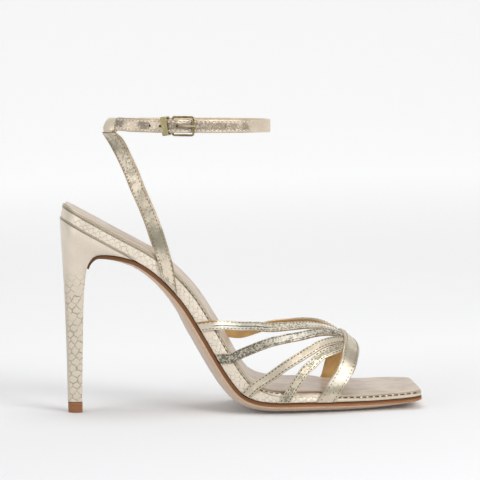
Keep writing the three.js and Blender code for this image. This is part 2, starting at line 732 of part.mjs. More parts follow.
function ankleLayer(angle) {
  const up = THREE.MathUtils.smootherstep(angle, tailRise.from, tailRise.top);
  const down = THREE.MathUtils.smoothstep(angle, tailRise.top, tailRise.to);
  return mix(overRoll * up, layerStep, down);
}

// The under layer narrows ahead of the loop, which begins and ends at neckAngles
const neckAngles = { from: loopHalfAngle + 16, to: loopHalfAngle + 6 };

function ankleWide(angle) {
  const fromBack = Math.abs(angle - 180);
  const narrow = 1 - THREE.MathUtils.smoothstep(fromBack, neckAngles.to, neckAngles.from);
  return mix(ankleStrapWidth, loopStrapWidth, narrow);
}

const ankleRing = (angle, width, thickness, out) => {
  const { point, normal, across } = anklePlace(angle, out);
  return strapRing(point, across, normal, width, thickness);
};
const ankleTurns = (from, to, step) => {
  const count = Math.ceil((to - from) / step);
  return Array.from({ length: count + 1 }, (_, i) => mix(from, to, i / count));
};
const turnStep = { layer: 7, rise: 1.7, tail: 6, loop: 4 };  // degrees between sections
const tailTip = [{ before: 0, wide: 0.5 }, { before: 0.9, wide: 0.82 }, { before: 2.4, wide: 1 }];
const tailLayer = layerStep + strapThickness / 2;
const strapAngles = [
  ...ankleTurns(ankleStart, tailRise.from, turnStep.layer),
  ...ankleTurns(tailRise.from, tailRise.to, turnStep.rise).slice(1),
  ...ankleTurns(tailRise.to, tailEnd - tailTip[2].before, turnStep.tail).slice(1),
];
const tailRings = tailTip.slice(0, 2).reverse().map(({ before, wide }) => (
  ankleRing(tailEnd - before, ankleStrapWidth * wide, strapThickness, tailLayer)
));
const strapRings = strapAngles.map((angle) => (
  ankleRing(angle, ankleWide(angle), strapThickness, ankleLayer(angle) + strapThickness / 2)
));
const ankleRings = [...strapRings, ...tailRings];

// Buckle prong: from beside the hinge bar up through the strap and over to the far bar. The
// places are counted from the frame's left or right edge, and out from the strap's inner face.
const prongOver = {
  strap: overRoll + strapThickness + gap + prongRadius,
  bar: barOut.far + frameBar / 2 + gap + prongRadius,
};
const prongStart = frameLeft + frameBar + gap + prongRadius;
const prongPath = [
  { x: prongStart, out: 0.2 * strapThickness },
  { x: prongStart + 0.05 * frameLength, out: 0.8 * strapThickness },
  { x: prongStart + 0.1 * frameLength, out: 1.8 * strapThickness },
  { x: prongStart + 0.25 * frameLength, out: prongOver.strap },
  { x: frameRight - 0.3 * frameLength, out: mix(prongOver.strap, prongOver.bar, 0.3) },
  { x: frameRight - frameBar, out: prongOver.bar },
  { x: frameRight + gap, out: prongOver.bar },
];

function prong(radius) {
  const points = prongPath.map(({ x, out }) => anklePlace(ankleAngle(x), out).point);
  const path = new THREE.CatmullRomCurve3(points, false, 'centripetal');
  const shape = new THREE.Shape().absarc(0, 0, radius, 0, 2 * Math.PI);
  const way = { steps: 16, curveSegments: 5, bevelEnabled: false, extrudePath: path };
  const tube = new THREE.ExtrudeGeometry(shape, way);
  return solidOf(tube, new THREE.Matrix4());
}

// A flat rectangular loop, as a shape with a hole
function loopShape(width, height, wallX, wallY, radius) {
  const rounded = (path, w, h, r) => {
    path.moveTo(-w + r, -h).lineTo(w - r, -h).absarc(w - r, -h + r, r, -Math.PI / 2, 0);
    path.lineTo(w, h - r).absarc(w - r, h - r, r, 0, Math.PI / 2);
    path.lineTo(-w + r, h).absarc(-w + r, h - r, r, Math.PI / 2, Math.PI);
    path.lineTo(-w, -h + r).absarc(-w + r, -h + r, r, Math.PI, Math.PI * 1.5);
    return path;
  };
  const shape = rounded(new THREE.Shape(), width / 2, height / 2, radius);
  const inner = radius / 2;
  shape.holes.push(rounded(new THREE.Path(), width / 2 - wallX, height / 2 - wallY, inner));
  return shape;
}

// Buckle frame: hinge bar under the tail, far bar over the strap
const hingeBar = anklePlace(ankleAngle(hingeX), barOut.hinge).point;
const farBar = anklePlace(ankleAngle(frameRight - frameBar / 2), barOut.far).point;
const frameAlong = farBar.clone().sub(hingeBar).normalize();
const frameUp = vector(0, 0, 1).addScaledVector(frameAlong, -frameAlong.z).normalize();
const frameOut = frameAlong.clone().cross(frameUp).normalize();
const betweenBars = hingeBar.clone().lerp(farBar, 0.5);
const frameMiddle = betweenBars.clone().addScaledVector(frameOut, -frameBar / 2);
const framePose = new THREE.Matrix4().makeBasis(frameAlong, frameUp, frameOut).setPosition(frameMiddle);
const frameCorner = 1.2;
const frameShape = loopShape(frameLength, frameHeight, frameBar, frameBar, frameCorner);
const frameSolid = new THREE.ExtrudeGeometry(frameShape, {
  depth: frameBar - 2 * frameBevel,
  curveSegments: 3,
  bevelThickness: frameBevel,
  bevelSize: frameBevel,
  bevelOffset: -frameBevel,
  bevelSegments: 1,
}).translate(0, 0, frameBevel);
const buckleFrame = solidOf(frameSolid, framePose);

// Ankle strap: its lower end rolled round the hinge bar, with a hole for the prong
const rollMiddle = betweenBars.clone().addScaledVector(frameAlong, (frameBar - frameLength) / 2);
const rollPose = new THREE.Matrix4().makeBasis(frameAlong, frameUp, frameOut).setPosition(rollMiddle);
const rollSides = 16;

function barRoll(radius, width) {
  return solidOf(new THREE.CylinderGeometry(radius, radius, width, rollSides), rollPose);
}

const ankleStrap = loft(ankleRings)
  .add(barRoll(rollOutside, ankleStrapWidth))
  .subtract(barRoll(rollInside, frameHeight))
  .subtract(prong(prongRadius + gap));
const buckleProng = prong(prongRadius);

// Keeper: a narrow leather loop round both layers, beside the frame
const keeperAngle = ankleAngle(frameLeft - 2 * gap - keeperLength / 2);
const keeperSlack = 0.5;       // room for its tilt
const keeperCorner = 1;
const stack = overRoll + strapThickness;
const keeperHole = { out: stack + 2 * gap, up: ankleStrapWidth + 2 * gap + keeperSlack };
const keeperPlace = anklePlace(keeperAngle, stack / 2);
const keeperWay = keeperPlace.normal.clone().cross(keeperPlace.across).normalize();
const keeperPose = new THREE.Matrix4()
  .makeBasis(keeperPlace.normal, keeperPlace.across, keeperWay)
  .setPosition(keeperPlace.point)
  .multiply(new THREE.Matrix4().makeRotationX(radians(keeperTilt)));
const keeperSize = { out: keeperHole.out + 2 * keeperWall, up: keeperHole.up + 2 * keeperWall };
const keeperShape = loopShape(keeperSize.out, keeperSize.up, keeperWall, keeperWall, keeperCorner);
const keeperSolid = new THREE.ExtrudeGeometry(keeperShape, {
  depth: keeperLength, curveSegments: 3, bevelEnabled: false,
}).translate(0, 0, -keeperLength / 2);
const strapKeeper = solidOf(keeperSolid, keeperPose);

// Sling: two straps that meet in a flat loop round the ankle strap behind the heel
const loopGap = 2 * gap;
const loopCutPast = 8;         // degrees that the cut for the strap runs past each end
const loopInside = { width: loopStrapWidth + loopGap, thickness: strapThickness + loopGap };
const loopOutside = {
  width: loopInside.width + 2 * loopWall,
  thickness: loopInside.thickness + 2 * loopWall,
};

function loopBody({ width, thickness }, halfAngle) {
  const angles = ankleTurns(180 - halfAngle, 180 + halfAngle, turnStep.loop);
  return loft(angles.map((angle) => ankleRing(angle, width, thickness, strapThickness / 2)));
}

function slingHalf(side) {
  const sign = side === 'lateral' ? -1 : 1;
  const [start, edge] = anchorNodes(side, slingFoot, slingWidth);
  start.width *= slingFoot.footWide;
  const free = slingPath.map(({ along, up, out, facing, wide }) => {
    const turned = radians(facing);
    return {
      point: vector(backX + footSpan * along, sign * out * ankleWidth / 2, up * ankleHeight),
      normal: vector(-Math.sin(turned), sign * Math.cos(turned), 0),
      width: slingWidth * wide,
    };
  });
  const lowerEdge = (loopWall - loopOutside.width) / 2;
  const meet = anklePlace(180 + sign * slingMeet.angle, strapThickness / 2, lowerEdge);
  const end = {
    point: meet.point,
    normal: meet.normal,
    width: slingWidth * slingMeet.wide,
    cut: 1,
    along: meet.across.clone().cross(meet.normal),
  };
  return strap([start, edge, ...free, end]);
}

const heelSling = slingHalf('lateral')
  .add(slingHalf('medial'))
  .add(loopBody(loopOutside, loopHalfAngle))
  .subtract(loopBody(loopInside, loopHalfAngle + loopCutPast));

const sandal = new THREE.Group();
sandal.add(
  piece('outsole', outsole, soleLeather),
  piece('footbed_rim', footbedRim, goldLeather),
  piece('sock_lining', sockLining, sockLeather),
  piece('heel', heel, goldLeather),
  piece('heel_tip', heelTip, tipRubber),
  piece('vamp_straps', vamp, goldLeather),
  piece('heel_sling', heelSling, goldLeather),
  piece('ankle_strap', ankleStrap, goldLeather),
  piece('buckle_frame', buckleFrame, paleBrass),
  piece('buckle_prong', buckleProng, paleBrass),
  piece('strap_keeper', strapKeeper, goldLeather),
);

export default sandal;
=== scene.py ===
# %% [markdown]
# # A strappy heeled sandal
# The sandal stands on its heel tip and the ball of its sole. Everything here is in the frame of
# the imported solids: the origin is under the heel tip, X runs to the toe, Y to the inner side of
# the foot, Z is up. The solids are loaded first, and each new piece then takes the place of one.
# Shapes are worked out in millimetres, as a shoemaker would, and become metres in the mesh.

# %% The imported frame
import math

import bpy
import numpy as np
from mathutils import Matrix


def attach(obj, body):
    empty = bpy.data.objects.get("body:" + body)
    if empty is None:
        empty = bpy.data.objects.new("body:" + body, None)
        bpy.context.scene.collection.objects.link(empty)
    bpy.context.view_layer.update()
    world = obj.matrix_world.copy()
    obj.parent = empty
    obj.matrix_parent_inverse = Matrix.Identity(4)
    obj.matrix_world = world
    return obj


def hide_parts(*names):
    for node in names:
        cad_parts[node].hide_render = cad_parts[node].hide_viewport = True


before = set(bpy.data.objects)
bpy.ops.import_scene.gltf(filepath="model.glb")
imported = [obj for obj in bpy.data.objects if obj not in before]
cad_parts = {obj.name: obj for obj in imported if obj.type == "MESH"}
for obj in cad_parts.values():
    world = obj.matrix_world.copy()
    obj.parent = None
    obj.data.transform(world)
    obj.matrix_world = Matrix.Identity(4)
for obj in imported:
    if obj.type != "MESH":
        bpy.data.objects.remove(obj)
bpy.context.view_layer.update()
MM = 0.001
print("solids:", ", ".join(sorted(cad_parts)))

# %% [markdown]
# ## Camera
# The photograph was taken from a long way off with a long lens, a little above the ankle strap
# and turned slightly towards the heel. A short lens close by would show the same outline with
# swollen near parts. The place was found by matching known points of the shoe.

# %% Camera
photo_side = 480
camera_at = np.array([-10.24, -1496.35, 216.0])
look_at = np.array([94.39, 0.0, 94.03])
focal_pixels = 2687.8
roll = math.radians(-1.2)

forward = (look_at - camera_at) / np.linalg.norm(look_at - camera_at)
level = np.cross(forward, [0, 0, 1])
level /= np.linalg.norm(level)
upright = np.cross(level, forward)
camera_right = level * math.cos(roll) + upright * math.sin(roll)
camera_up = upright * math.cos(roll) - level * math.sin(roll)

camera_data = bpy.data.cameras.new("camera")
camera_data.sensor_width = 36
camera_data.lens = focal_pixels * camera_data.sensor_width / photo_side
camera_data.clip_end = 50
camera = bpy.data.objects.new("camera", camera_data)
bpy.context.collection.objects.link(camera)
turn = Matrix(np.stack([camera_right, camera_up, -forward], 1).tolist())
camera.matrix_world = Matrix.Translation(camera_at * MM) @ turn.to_4x4()
bpy.context.scene.camera = camera
print(f"camera: {camera_data.lens:.1f} mm lens, {np.linalg.norm(look_at - camera_at):.0f} mm away")

# %% [markdown]
# ## Tables, curves and skins
# Most shapes below start from a short table of measured rows. A cubic curve through the rows
# gives the values between them. Bezier handles would do the same by hand, but a table is easier
# to read and to change. A skin is a grid of points over two parameters, closed into a solid.


# %% Tables and curves
def table(columns, rows):
    """Rows of numbers, kept as one array for each named column."""
    return dict(zip(columns.split(), np.array(rows, float).T))


def read(rows, column, at, by="at"):
    """Cubic through the rows: each slope is the one between the two neighbouring rows."""
    places, values = rows[by], rows[column]
    last = len(places) - 1
    index = np.arange(last + 1)
    before, after = np.maximum(index - 1, 0), np.minimum(index + 1, last)
    slopes = (values[after] - values[before]) / (places[after] - places[before])
    i = np.clip(np.searchsorted(places, at) - 1, 0, last - 1)
    run = places[i + 1] - places[i]
    t = (at - places[i]) / run
    rise = (3 - 2 * t) * t**2
    return ((1 - rise) * values[i] + rise * values[i + 1]
            + run * t * (1 - t) * ((1 - t) * slopes[i] - t * slopes[i + 1]))


def unit(vectors):
    """The same directions with length one."""
    return vectors / np.linalg.norm(vectors, axis=-1, keepdims=True)


def run_of(points):
    """Distance along a line of points, from its first."""
    steps = np.linalg.norm(np.diff(points, axis=0), axis=1)
    return np.concatenate([[0], np.cumsum(steps)])


def ease(value, low, high):
    """0 below low, 1 above high, and 3 t^2 - 2 t^3 between them."""
    t = np.clip((value - low) / (high - low), 0, 1)
    return t * t * (3 - 2 * t)


# %% Skins
SHARP_FROM = 42


def grid_quads(rows, columns):
    """Corners of every quad of a closed grid: its row i and column j, as two arrays of four."""
    i, j = (index.ravel() for index in np.meshgrid(np.arange(rows), np.arange(columns), indexing="ij"))
    return np.stack([i, i, i + 1, i + 1], 1), np.stack([j, j + 1, j + 1, j], 1)


def skin(rings, along, around, slots=0, closed=False):
    """A solid over rings of points. Each ring runs out along one edge and back along the other,
    so the ends close in pairs. along and around are the skin's own coordinates in mm."""
    rows, count = rings.shape[:2]
    around = np.broadcast_to(around, (rows, count + 1))
    i, j = grid_quads(rows if closed else rows - 1, count)
    faces = (i % rows) * count + j % count
    along = np.append(along, 2 * along[-1] - along[-2])
    uv = np.stack([along[i], around[i % rows, j]], -1)
    slot = np.broadcast_to(slots, (count,))[j[:, 0]]
    if not closed:
        c = np.arange(count // 2 - 1)
        first = np.stack([c + 1, c, count - 1 - c, count - 2 - c], 1)
        last = (rows - 1) * count + first[:, [1, 0, 3, 2]]
        caps = np.concatenate([first, last])
        cap_uv = np.stack([np.repeat(along[[0, rows - 1]], len(c))[:, None] * np.ones(4),
                           around[caps // count, caps % count]], -1)
        faces = np.concatenate([faces, caps])
        uv = np.concatenate([uv, cap_uv])
        slot = np.concatenate([slot, np.zeros(len(caps), int)])
    return facing_out(rings.reshape(-1, 3), faces, uv, slot)


def facing_out(points, faces, uv, slot):
    """Turns every face round when the solid's signed volume is below zero."""
    a, b, c, d = (points[faces[:, k]] for k in range(4))
    volume = np.sum(a * np.cross(b, c) + a * np.cross(c, d))
    if volume < 0:
        faces, uv = faces[:, ::-1], uv[:, ::-1]
    return points, faces, uv, slot


def sleeve(outer, inner, along, around, slots):
    """A tube with a wall: an outer and an inner skin joined at both ends, and a slot for each."""
    rows, count = outer.shape[:2]
    points = np.concatenate([outer.reshape(-1, 3), inner.reshape(-1, 3)])
    i, j = grid_quads(rows - 1, count)
    out_faces = i * count + j % count
    in_faces = out_faces[:, ::-1] + rows * count
    around = np.broadcast_to(around, (rows, count + 1))
    uv = np.stack([along[i], around[i, j]], -1)
    j0 = np.arange(count)
    j1 = (j0 + 1) % count
    first = np.stack([j1, j0, j0 + rows * count, j1 + rows * count], 1)
    last = first[:, ::-1] + (rows - 1) * count
    rim = np.concatenate([first, last])
    rim_uv = np.stack([np.repeat(along[[0, -1]], count)[:, None] * np.ones(4),
                       around[0, rim % count]], -1)
    faces = np.concatenate([out_faces, in_faces, rim])
    slot = np.concatenate([np.full(len(i), slots[0]), np.full(len(i), slots[1]),
                           np.full(len(rim), slots[0])])
    return facing_out(points, faces, np.concatenate([uv, uv[:, ::-1], rim_uv]), slot)


def size_of(points):
    """Length, width and height of points in mm, as text."""
    return " x ".join(f"{side:.1f}" for side in np.ptp(points.reshape(-1, 3), axis=0)) + " mm"


def make(name, skins, materials, stands_for):
    """Joins skins into one object on the body, with its own UV map in metres."""
    counts = np.cumsum([0] + [len(part[0]) for part in skins])
    points = np.concatenate([part[0] for part in skins]) * MM
    faces = np.concatenate([part[1] + start for part, start in zip(skins, counts)])
    uv = np.concatenate([part[2] for part in skins]) * MM
    slots = np.concatenate([part[3] for part in skins])
    mesh = bpy.data.meshes.new(name)
    mesh.vertices.add(len(points))
    mesh.vertices.foreach_set("co", points.ravel())
    mesh.loops.add(faces.size)
    mesh.loops.foreach_set("vertex_index", faces.ravel())
    mesh.polygons.add(len(faces))
    mesh.polygons.foreach_set("loop_start", np.arange(0, faces.size, 4))
    for material in materials:
        mesh.materials.append(material)
    mesh.polygons.foreach_set("material_index", slots.astype(np.int32))
    layer = mesh.uv_layers.new(name="skin")
    layer.data.foreach_set("uv", uv.ravel())
    mesh.update(calc_edges=True)
    mesh.validate()
    mesh.polygons.foreach_set("use_smooth", np.ones(len(mesh.polygons), bool))
    mesh.set_sharp_from_angle(angle=math.radians(SHARP_FROM))
    piece = bpy.data.objects.new(name, mesh)
    bpy.context.collection.objects.link(piece)
    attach(piece, "root")
    if stands_for:
        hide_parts(stands_for)
    print(f"{name}: {len(faces)} faces, {size_of(points / MM)}")
    return piece


# %% [markdown]
# ## The last
# A shoe is built round a last, and all of its lines follow that one form. Here the last is the
# line of the footbed's underside from heel to toe and the half width to either side. A point is
# given as a share of that line's length, a distance across, and a height above it.

# %% The last
GAP = 0.3
HEEL_HEIGHT = 109.6
TREAD_HEIGHT = 6.6
FOOT_SPAN = 197.8
BACK_X = -5.8
SEAT_ROUND = 20
FULLNESS = 2.5
WAIST_FROM = 0.2
WAIST_SPAN = 0.5
WAIST_LIFT = 3.2
LEAN_TO = 0.15
BACK_LEAN = 0.34
NEAR = 0.004

last_line = table("at along rise", [
    (0.000, 0.000, 1.000), (0.130, 0.139, 0.844), (0.220, 0.233, 0.738), (0.280, 0.289, 0.645),
    (0.345, 0.340, 0.526), (0.410, 0.381, 0.394), (0.505, 0.438, 0.197), (0.550, 0.467, 0.109),
    (0.585, 0.495, 0.047), (0.615, 0.527, 0.016), (0.650, 0.569, 0.003), (0.745, 0.687, 0.000),
    (0.870, 0.840, -0.007), (0.940, 0.928, -0.003), (1.000, 1.000, 0.006),
])
SEAT, WAIST, BALL, TOE = 50, 44, 76, 63
outline = table("at lateral medial", [
    (0.000, SEAT * 0.500, SEAT * 0.490), (0.190, SEAT * 0.500, SEAT * 0.480),
    (0.270, WAIST * 0.535, WAIST * 0.500), (0.370, WAIST * 0.520, WAIST * 0.485),
    (0.490, WAIST * 0.595, WAIST * 0.550), (0.595, BALL * 0.435, BALL * 0.400),
    (0.665, BALL * 0.500, BALL * 0.460), (0.710, BALL * 0.515, BALL * 0.485),
    (0.780, BALL * 0.500, BALL * 0.493), (0.850, TOE * 0.563, TOE * 0.571),
    (0.920, TOE * 0.524, TOE * 0.540), (1.000, TOE * 0.489, TOE * 0.508),
])
toe_corner = {"lateral": 7, "medial": 20}
SIGN = {"lateral": -1, "medial": 1}


def last_point(at):
    """Level distance and height of the footbed's underside, as one array of X and Z."""
    x = BACK_X + FOOT_SPAN * read(last_line, "along", at)
    z = TREAD_HEIGHT + (HEEL_HEIGHT - TREAD_HEIGHT) * read(last_line, "rise", at)
    return np.stack([x, z], -1)


def last_tangent(at):
    """Direction of the last's line, from two points near by on either side."""
    return unit(last_point(np.minimum(at + NEAR, 1)) - last_point(np.maximum(at - NEAR, 0)))


last_length = run_of(last_point(np.linspace(0, 1, 201)))[-1]


def half_width(side, at):
    """The outline's cubic, closed behind by a full ellipse and in front by a rounded corner."""
    width = read(outline, side, at)
    behind = np.clip(1 - at * last_length / SEAT_ROUND, 0, 1)
    corner = toe_corner[side]
    ahead = np.clip(corner - (1 - at) * last_length, 0, corner)
    rounded = width * (1 - behind**FULLNESS) ** (1 / FULLNESS)
    return rounded - corner + np.sqrt(corner**2 - ahead**2)


def on_last(at, y, n):
    """A point at its share along the last, y across it and n above it. The inner edge rises in the
    waist, as a half sine along and a square across, and the seat's back leans back as it goes up."""
    at, y, n = np.broadcast_arrays(np.asarray(at, float), y, n)
    tangent = last_tangent(at)
    waist = np.sin(np.pi * np.clip((at - WAIST_FROM) / WAIST_SPAN, 0, 1))
    inner = np.clip(y / np.maximum(half_width("medial", at), 0.01), 0, 1)
    n_lifted = n + WAIST_LIFT * waist * inner**2
    lean = BACK_LEAN * np.clip(1 - at / LEAN_TO, 0, None) ** 2 * np.maximum(n, 0)
    xz = last_point(at) + tangent[..., ::-1] * [-1, 1] * n_lifted[..., None] - tangent * lean[..., None]
    return np.stack([xz[..., 0], y, xz[..., 1]], -1)


print(f"last: {last_length:.1f} mm along the footbed")

# %% [markdown]
# ## Footbed rim
# The insole board is wrapped in printed leather. Its side wall is padded a little, it tucks under
# at the sole, and its upper edge is bevelled wide at the ball of the foot. A box with bevels would
# need loop cuts at every change of thickness. A closed section carried along the last does not.

# %% Footbed rim
rim_shape = table("at thick drop inset", [
    (0.000, 1.00, 0.10, 0.10), (0.600, 1.00, 0.12, 0.14), (0.665, 0.76, 0.24, 0.32),
    (0.710, 0.67, 0.33, 0.40), (0.765, 0.62, 0.31, 0.38), (0.805, 0.42, 0.10, 0.11),
    (1.000, 0.37, 0.07, 0.08),
])
RIM = 7.3
RIM_TUCK = 0.25
RIM_BULGE = 0.22
ROUND_STEPS = 13


def rim_top(at):
    """Height of the rim above the last's line."""
    return RIM * read(rim_shape, "thick", at)


def stations(from_back, from_toe, even):
    """Places along the last: even in the middle, and by the power 1.8 closer at both round ends."""
    closer = np.linspace(0, 1, ROUND_STEPS + 1)[:-1] ** 1.8
    back = (from_back + (SEAT_ROUND - from_back) * closer) / last_length
    toe_depth = max(toe_corner.values())
    toe = 1 - (from_toe + (toe_depth - from_toe) * closer) / last_length
    middle = np.linspace(SEAT_ROUND, last_length - toe_depth, even) / last_length
    return np.concatenate([back, middle, toe[::-1]])


def rim_rings(at):
    """Wall and bevel up the outer side, across the top, down the inner side and back below. The
    wall bulges as a half sine, and the bevel is a quarter of an ellipse."""
    at = at[:, None]
    thick, drop, inset = (RIM * read(rim_shape, key, at) for key in ("thick", "drop", "inset"))
    wall = np.array([0, 0.08, 0.2, 0.4, 0.6, 0.8, 1.0])
    tuck = RIM_TUCK * np.clip(1 - wall / 0.12, 0, 1) ** 2 - RIM_BULGE * np.sin(np.pi * wall)
    bend = np.radians([22, 45, 68, 90])
    into = np.concatenate([tuck, np.zeros(4)]) + inset * np.concatenate([0 * wall, 1 - np.cos(bend)])
    up = (thick - drop) * np.concatenate([wall, np.ones(4)])
    up = up + drop * np.concatenate([0 * wall, np.sin(bend)])
    shares = np.array([0.9, 0.6, 0.3])
    outer, inner = half_width("lateral", at), half_width("medial", at)
    into = np.minimum(into, 0.8 * outer)
    flat = thick * np.ones(7)
    y = np.concatenate([into - outer, -shares * (outer - inset), 0 * at,
                        shares[::-1] * (inner - inset), (inner - into)[:, ::-1]], 1)
    n = np.concatenate([up, flat, up[:, ::-1]], 1)
    below = np.cos(np.linspace(0.12, np.pi - 0.12, y.shape[1]))
    y = np.concatenate([y, np.where(below > 0, inner, outer) * below], 1)
    n = np.concatenate([n, 0 * at * below], 1)
    return on_last(at, y, n), n


rim_at = stations(0.25, 0, 150)
rim_grid, rim_height = rim_rings(rim_at)


def wall_around(rings):
    """Distance down each wall from the bevel's inner end, and less than zero on the board between
    the two. The board's underside counts as far down."""
    bevel_end = 10
    far_down = 20.0
    half = rings.shape[1] // 2
    steps = np.linalg.norm(np.diff(rings[:, :half], axis=1), axis=2)
    run = np.concatenate([np.zeros((len(rings), 1)), np.cumsum(steps, 1)], 1)
    first, last = run[:, [bevel_end]], run[:, [half - 1 - bevel_end]]
    upper = np.maximum(first - run, run - last)
    return np.concatenate([upper, np.full((len(rings), half + 1), far_down)], 1)


# At the two flat ends the height below the top takes over, so the print runs on across them.
rim_down = wall_around(rim_grid)
to_end = np.minimum(rim_at, 1 - rim_at) * last_length
near_end = 1 - ease(to_end, 1, 8)[:, None]
below_top = rim_top(rim_at)[:, None] + 0.4 - rim_height
rim_down[:, :-1] += (below_top - rim_down[:, :-1]) * near_end
rim_skin = skin(rim_grid, rim_at * last_length, rim_down)
print("footbed rim:", size_of(rim_grid))

# %% [markdown]
# ## Sock lining
# A thin sheet of smooth leather is glued over the board, and its edge shows as a soft step. It is
# rigid here, so a closed sheet with a rounded edge and a slight crown is enough, without cloth.

# %% Sock lining
SOCK = 1.2
SOCK_INSET = 0.4
SOCK_EDGE = 0.35


def sock_rings(at):
    """The sheet is thinner towards its edge, by s^24 at the share s of the half width. Its edge is
    about a third as thick as its middle, and its underside is flat."""
    at = at[:, None]
    inset = SOCK_INSET + RIM * read(rim_shape, "inset", at)
    outer, inner = half_width("lateral", at) - inset, half_width("medial", at) - inset
    s = np.array([-1, -0.985, -0.96, -0.92, -0.85, -0.7, -0.45, -0.2, 0, 0.2, 0.45, 0.7, 0.85, 0.92,
                  0.96, 0.985, 1])
    y = np.where(s > 0, inner, outer) * s
    base = rim_top(at) + GAP / 2
    upper = base + GAP / 2 + SOCK * (SOCK_EDGE + (1 - SOCK_EDGE) * (1 - np.abs(s) ** 24))
    rings_up = on_last(at, y, upper)
    rings_down = on_last(at, y[:, ::-1], base * np.ones_like(s))
    return np.concatenate([rings_up, rings_down], 1)


sock_at = stations(1.6, 1.0, 130)
sock_grid = sock_rings(sock_at)
sock_edge = np.abs(sock_grid[..., 1]).max(1, keepdims=True) - np.abs(sock_grid[..., 1])
sock_ends = np.minimum(sock_at * last_length, (1 - sock_at) * last_length)[:, None]
sock_inward = np.minimum(sock_edge, sock_ends)
sock_skin = skin(sock_grid, sock_at * last_length, np.append(sock_inward, sock_inward[:, :1], 1))
print("sock lining:", size_of(sock_grid))

# %% [markdown]
# ## Heel
# The high heel is one moulded piece in leather: a slim D shape at the tip that opens into the
# seat. Its sections turn from level at the tip to the slope of the seat, so a lathe or a scaled
# cylinder can't make it. Each section is placed by its back and its front point instead.

# %% Heel
TIP_LENGTH = 8
TIP_HALF = 4.7
TIP_THICK = 5.8
SEAT_FRONT = 0.19
HEEL_ROUND = 0.68
HEEL_IN = 0.2
SEAT_IN = 0.3
heel_shape = table("at back_up back_out front_up front_out half", [
    (0.00, 0.000, 0.00, 0.000, 0.000, 0.000), (0.20, 0.280, 0.02, 0.370, 0.036, 0.035),
    (0.38, 0.542, 0.18, 0.720, 0.076, 0.130), (0.46, 0.658, 0.35, 0.860, 0.112, 0.240),
    (0.53, 0.735, 0.50, 0.935, 0.145, 0.370), (0.61, 0.803, 0.65, 0.990, 0.205, 0.540),
    (0.70, 0.861, 0.78, 1.030, 0.318, 0.720), (0.80, 0.910, 0.88, 1.038, 0.505, 0.860),
    (0.90, 0.955, 0.95, 1.026, 0.752, 0.955), (1.00, 1.000, 1.00, 1.000, 1.000, 1.000),
])
seat_back = on_last(0, 0, -GAP)
seat_front = on_last(SEAT_FRONT, 0, -GAP)
tip_back = np.array([-TIP_LENGTH / 2 - 0.1, 0, TIP_THICK + GAP])
tip_front = np.array([TIP_LENGTH / 2 - 0.2, 0, TIP_THICK + GAP])


def heel_sections(at):
    """Back and front points, half widths and rounded shares of sections from tip to seat."""
    def between(low, high, out, up):
        """Point of the tip moved towards its point of the seat, by one share each way."""
        share = np.stack([read(heel_shape, out, at), 0 * at, read(heel_shape, up, at)], -1)
        return low + (high - low) * share
    half = read(heel_shape, "half", at)
    wide = {side: TIP_HALF - HEEL_IN + (half_width(side, SEAT_FRONT) - SEAT_IN - TIP_HALF + HEEL_IN) * half
            for side in ("lateral", "medial")}
    back = between(tip_back, seat_back, "back_out", "back_up")
    front = between(tip_front, seat_front, "front_out", "front_up")
    return back, front, wide["lateral"], wide["medial"], HEEL_ROUND - 0.25 * half


def heel_rings(back, front, lateral, medial, round_share):
    """A D: straight in front with small corners, straight sides, and behind the full ellipse
    (1 - (1 - s)^2.5)^(1/2.5) of the half width at the share s of the rounded depth."""
    length = np.linalg.norm(front - back, axis=-1)[:, None]
    ahead = unit(front - back)[:, None]
    depth = length * round_share[:, None]
    corner = np.minimum(0.08 * length, 1.0)
    turn = np.radians([0, 30, 60, 90])
    s = np.array([0.9, 0.78, 0.64, 0.5, 0.38, 0.27, 0.18, 0.11, 0.06, 0.025, 0.006])
    bulge = (1 - (1 - s) ** FULLNESS) ** (1 / FULLNESS)
    ones = np.ones_like(length)
    far = np.concatenate([length - corner * (1 - np.cos(turn)), length * 0.5 + depth * 0.5,
                          length * 0.2 + depth * 0.8, depth, depth * s, 0 * ones], 1)

    def side(sign, half):
        """One side of each ring, from its front to its back."""
        half = half[:, None]
        front_wide = half - corner * (1 - np.sin(turn))
        wide = np.concatenate([front_wide, half, half, half, half * bulge, half * 0.15], 1)
        points = back[:, None] + ahead * far[..., None]
        points[..., 1] = sign * wide
        return points
    return np.concatenate([side(-1, lateral), side(1, medial)[:, ::-1]], 1)


def girth_from_back(rings):
    """Distance round each ring from the middle of its back, less than zero on the inner side."""
    half = rings.shape[1] // 2
    outer = np.linalg.norm(np.diff(rings[:, :half], axis=1), axis=2)
    inner = np.linalg.norm(np.diff(rings[:, half:], axis=1), axis=2)
    outer = np.concatenate([np.cumsum(outer[:, ::-1], 1)[:, ::-1], np.zeros((len(rings), 1))], 1)
    inner = np.concatenate([np.zeros((len(rings), 1)), np.cumsum(inner, 1)], 1)
    return np.concatenate([outer, -inner, -inner[:, -1:]], 1)


heel_at = np.linspace(0, 1, 110)
heel_grid = heel_rings(*heel_sections(heel_at))
heel_run = run_of(heel_grid.mean(1))
heel_skin = skin(heel_grid, heel_run, girth_from_back(heel_grid))
print("heel:", size_of(heel_grid))

# %% [markdown]
# ## Heel tip
# The top piece is a small block of brown rubber that wears down and is replaced. It has the
# heel's own section, with its edges broken by a fine bevel.

# %% Heel tip
tip_up = np.array([0, 0.12, 0.4, 1.5, 3, 4.5, 5.5, 5.72, TIP_THICK])
tip_in = np.array([0.4, 0.12, 0, 0, 0, 0, 0, 0.1, 0.3])


def tip_section(z, inset):
    """The heel's D at height z, drawn in by inset all round."""
    back = np.stack([inset - TIP_LENGTH / 2, 0 * z, z], -1)
    front = np.stack([TIP_LENGTH / 2 - inset, 0 * z, z], -1)
    half = TIP_HALF - inset
    return heel_rings(back, front, half, half, np.full_like(z, HEEL_ROUND))


